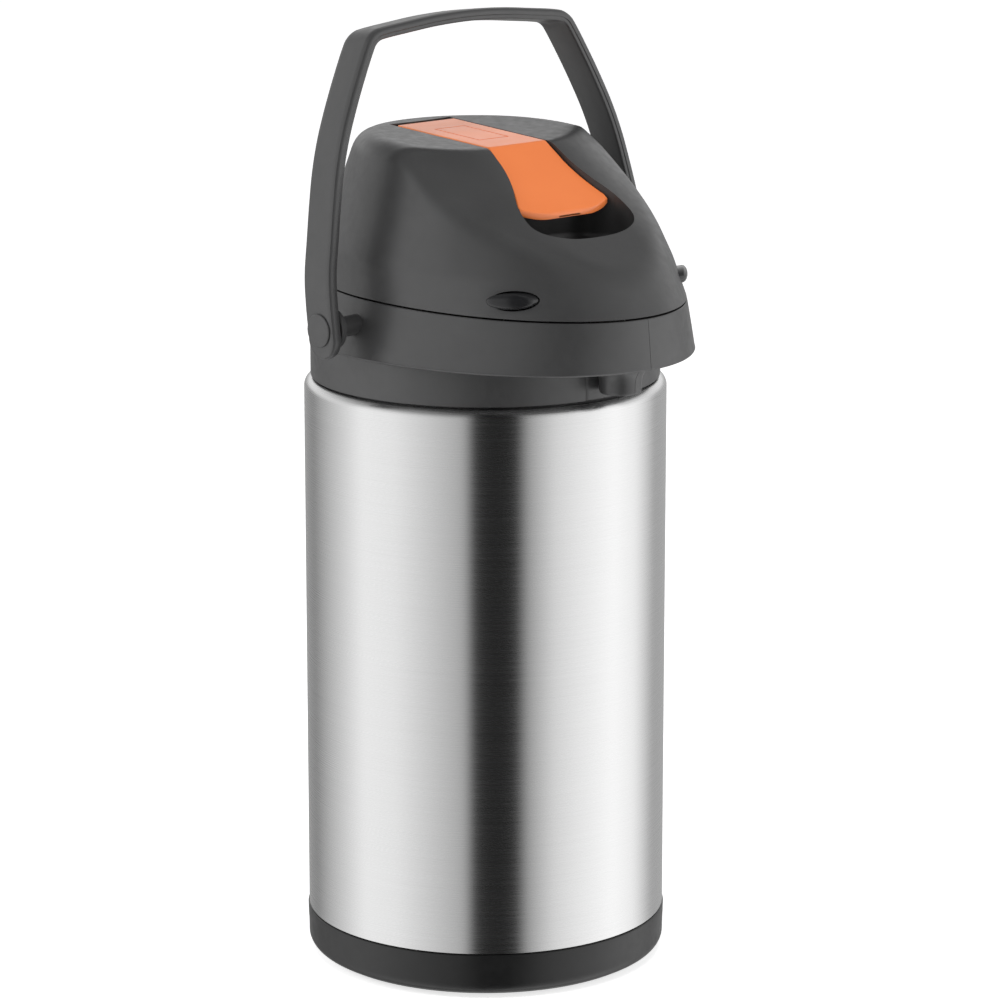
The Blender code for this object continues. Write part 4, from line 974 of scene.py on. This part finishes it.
def make_camera():
    data = bpy.data.cameras.new("camera")
    data.lens = 152.4
    data.sensor_width = 36.0
    data.clip_end = 50.0
    camera = bpy.data.objects.new("camera", data)
    bpy.context.scene.collection.objects.link(camera)
    forward = (TARGET - EYE).normalized()
    right = forward.cross(Vector((0, 0, 1))).normalized()
    up = right.cross(forward)
    aim = TARGET + right * FRAMING[0] + up * FRAMING[1]
    camera.location = EYE
    camera.rotation_euler = (aim - EYE).to_track_quat("-Z", "Y").to_euler()
    bpy.context.scene.camera = camera


def area_light(name, place, size, power):
    """A soft light aimed at the pot, which the gloss doesn't show."""
    data = bpy.data.lights.new(name, "AREA")
    data.shape = "RECTANGLE"
    data.size, data.size_y = size
    data.energy = power
    light = bpy.data.objects.new(name, data)
    bpy.context.scene.collection.objects.link(light)
    light.location = place
    light.rotation_euler = (LIT - place).to_track_quat("-Z", "Y").to_euler()
    light.visible_glossy = False


def bearing_to(azimuth):
    """A level direction at a bearing measured from the camera's side, positive to its right."""
    toward = Vector((EYE.x, EYE.y, 0.0)).normalized()
    right = Vector((-toward.y, toward.x, 0.0))
    turn = math.radians(azimuth)
    return toward * math.cos(turn) + right * math.sin(turn)


# How bright the studio is at each bearing in degrees, counted from the camera: a large soft box
# at each side, a dark gap behind the camera and a grey room behind the airpot.
STUDIO = [(-180, 0.45), (-140, 0.3), (-105, 0.9), (-85, 1.3), (-60, 1.2), (-30, 0.8), (-14, 0.6),
          (-7, 0.03), (20, 0.02), (28, 0.5), (45, 1.0), (60, 1.2), (90, 1.5), (110, 1.35),
          (135, 0.5), (180, 0.45)]
CEILING = 0.22       # how bright the studio is overhead
BACKDROP = 1.0       # how bright the white backdrop behind the airpot is above the horizon
MATT_SHARE = 0.75    # how much of the studio's light reaches matt surfaces


def make_world():
    """A white studio, whose upright soft boxes and dark gap the gloss shows."""
    world = bpy.data.worlds.new("studio")
    bpy.context.scene.world = world
    world.use_nodes = True
    tree = world.node_tree
    place = tree.nodes.new("ShaderNodeTexCoord").outputs["Generated"]

    def along(direction):
        node = tree.nodes.new("ShaderNodeVectorMath")
        node.operation = "DOT_PRODUCT"
        node.inputs[1].default_value = direction
        tree.links.new(place, node.inputs[0])
        return node.outputs["Value"]

    def math_node(operation, a, b):
        node = tree.nodes.new("ShaderNodeMath")
        node.operation = operation
        for socket, value in zip(node.inputs, (a, b)):
            if isinstance(value, (int, float)):
                socket.default_value = value
            else:
                tree.links.new(value, socket)
        return node.outputs[0]

    def choose(factor, otherwise, chosen):
        node = tree.nodes.new("ShaderNodeMix")
        node.data_type = "FLOAT"
        tree.links.new(factor, node.inputs["Factor"])
        for name, value in (("A", otherwise), ("B", chosen)):
            if isinstance(value, float):
                node.inputs[name].default_value = value
            else:
                tree.links.new(value, node.inputs[name])
        return node.outputs["Result"]

    def rising(start, end, low, high):
        """A level that goes smoothly from low to high as a direction points further up."""
        node = tree.nodes.new("ShaderNodeMapRange")
        node.interpolation_type = "SMOOTHSTEP"
        for name, number in (("From Min", start), ("From Max", end), ("To Min", low),
                             ("To Max", high)):
            node.inputs[name].default_value = number
        tree.links.new(along((0.0, 0.0, 1.0)), node.inputs["Value"])
        return node.outputs["Result"]

    bearing = math_node("ARCTAN2", along(bearing_to(90.0)), along(bearing_to(0.0)))
    share = math_node("ADD", math_node("MULTIPLY", bearing, 1.0 / math.tau), 0.5)
    ramp = tree.nodes.new("ShaderNodeValToRGB")
    tree.links.new(share, ramp.inputs["Fac"])
    for _ in STUDIO[2:]:
        ramp.color_ramp.elements.new(0.5)
    for stop, (degrees, level) in zip(ramp.color_ramp.elements, STUDIO):
        stop.position = degrees / 360.0 + 0.5
        stop.color = (level, level, level, 1.0)
    behind = math_node("GREATER_THAN", along(bearing_to(180.0)), 0.1)
    white = math_node("MULTIPLY", rising(0.0, 0.2, 0.0, 1.0), behind)
    room = choose(white, ramp.outputs["Color"], BACKDROP)
    shown = math_node("MULTIPLY", room, rising(0.25, 0.9, 1.0, CEILING))
    rays = tree.nodes.new("ShaderNodeLightPath").outputs
    matt = math_node("MULTIPLY", shown, MATT_SHARE)
    strength = choose(rays["Is Camera Ray"], choose(rays["Is Glossy Ray"], matt, shown), 1.0)
    shader = tree.nodes["Background"]
    tree.links.new(strength, shader.inputs["Strength"])
    shader.inputs["Color"].default_value = (1.0, 1.0, 1.0, 1.0)


make_floor()
make_world()
make_camera()
area_light("key", bearing_to(-75.0) * 1.6 + Vector((0, 0, 1.3)), (0.9, 0.9), 12.0)
area_light("fill", bearing_to(85.0) * 1.8 + Vector((0, 0, 0.6)), (0.9, 1.2), 10.0)
area_light("top", Vector((-0.3, -0.4, 2.2)), (1.2, 1.2), 19.0)
bpy.context.scene.view_settings.view_transform = "Standard"
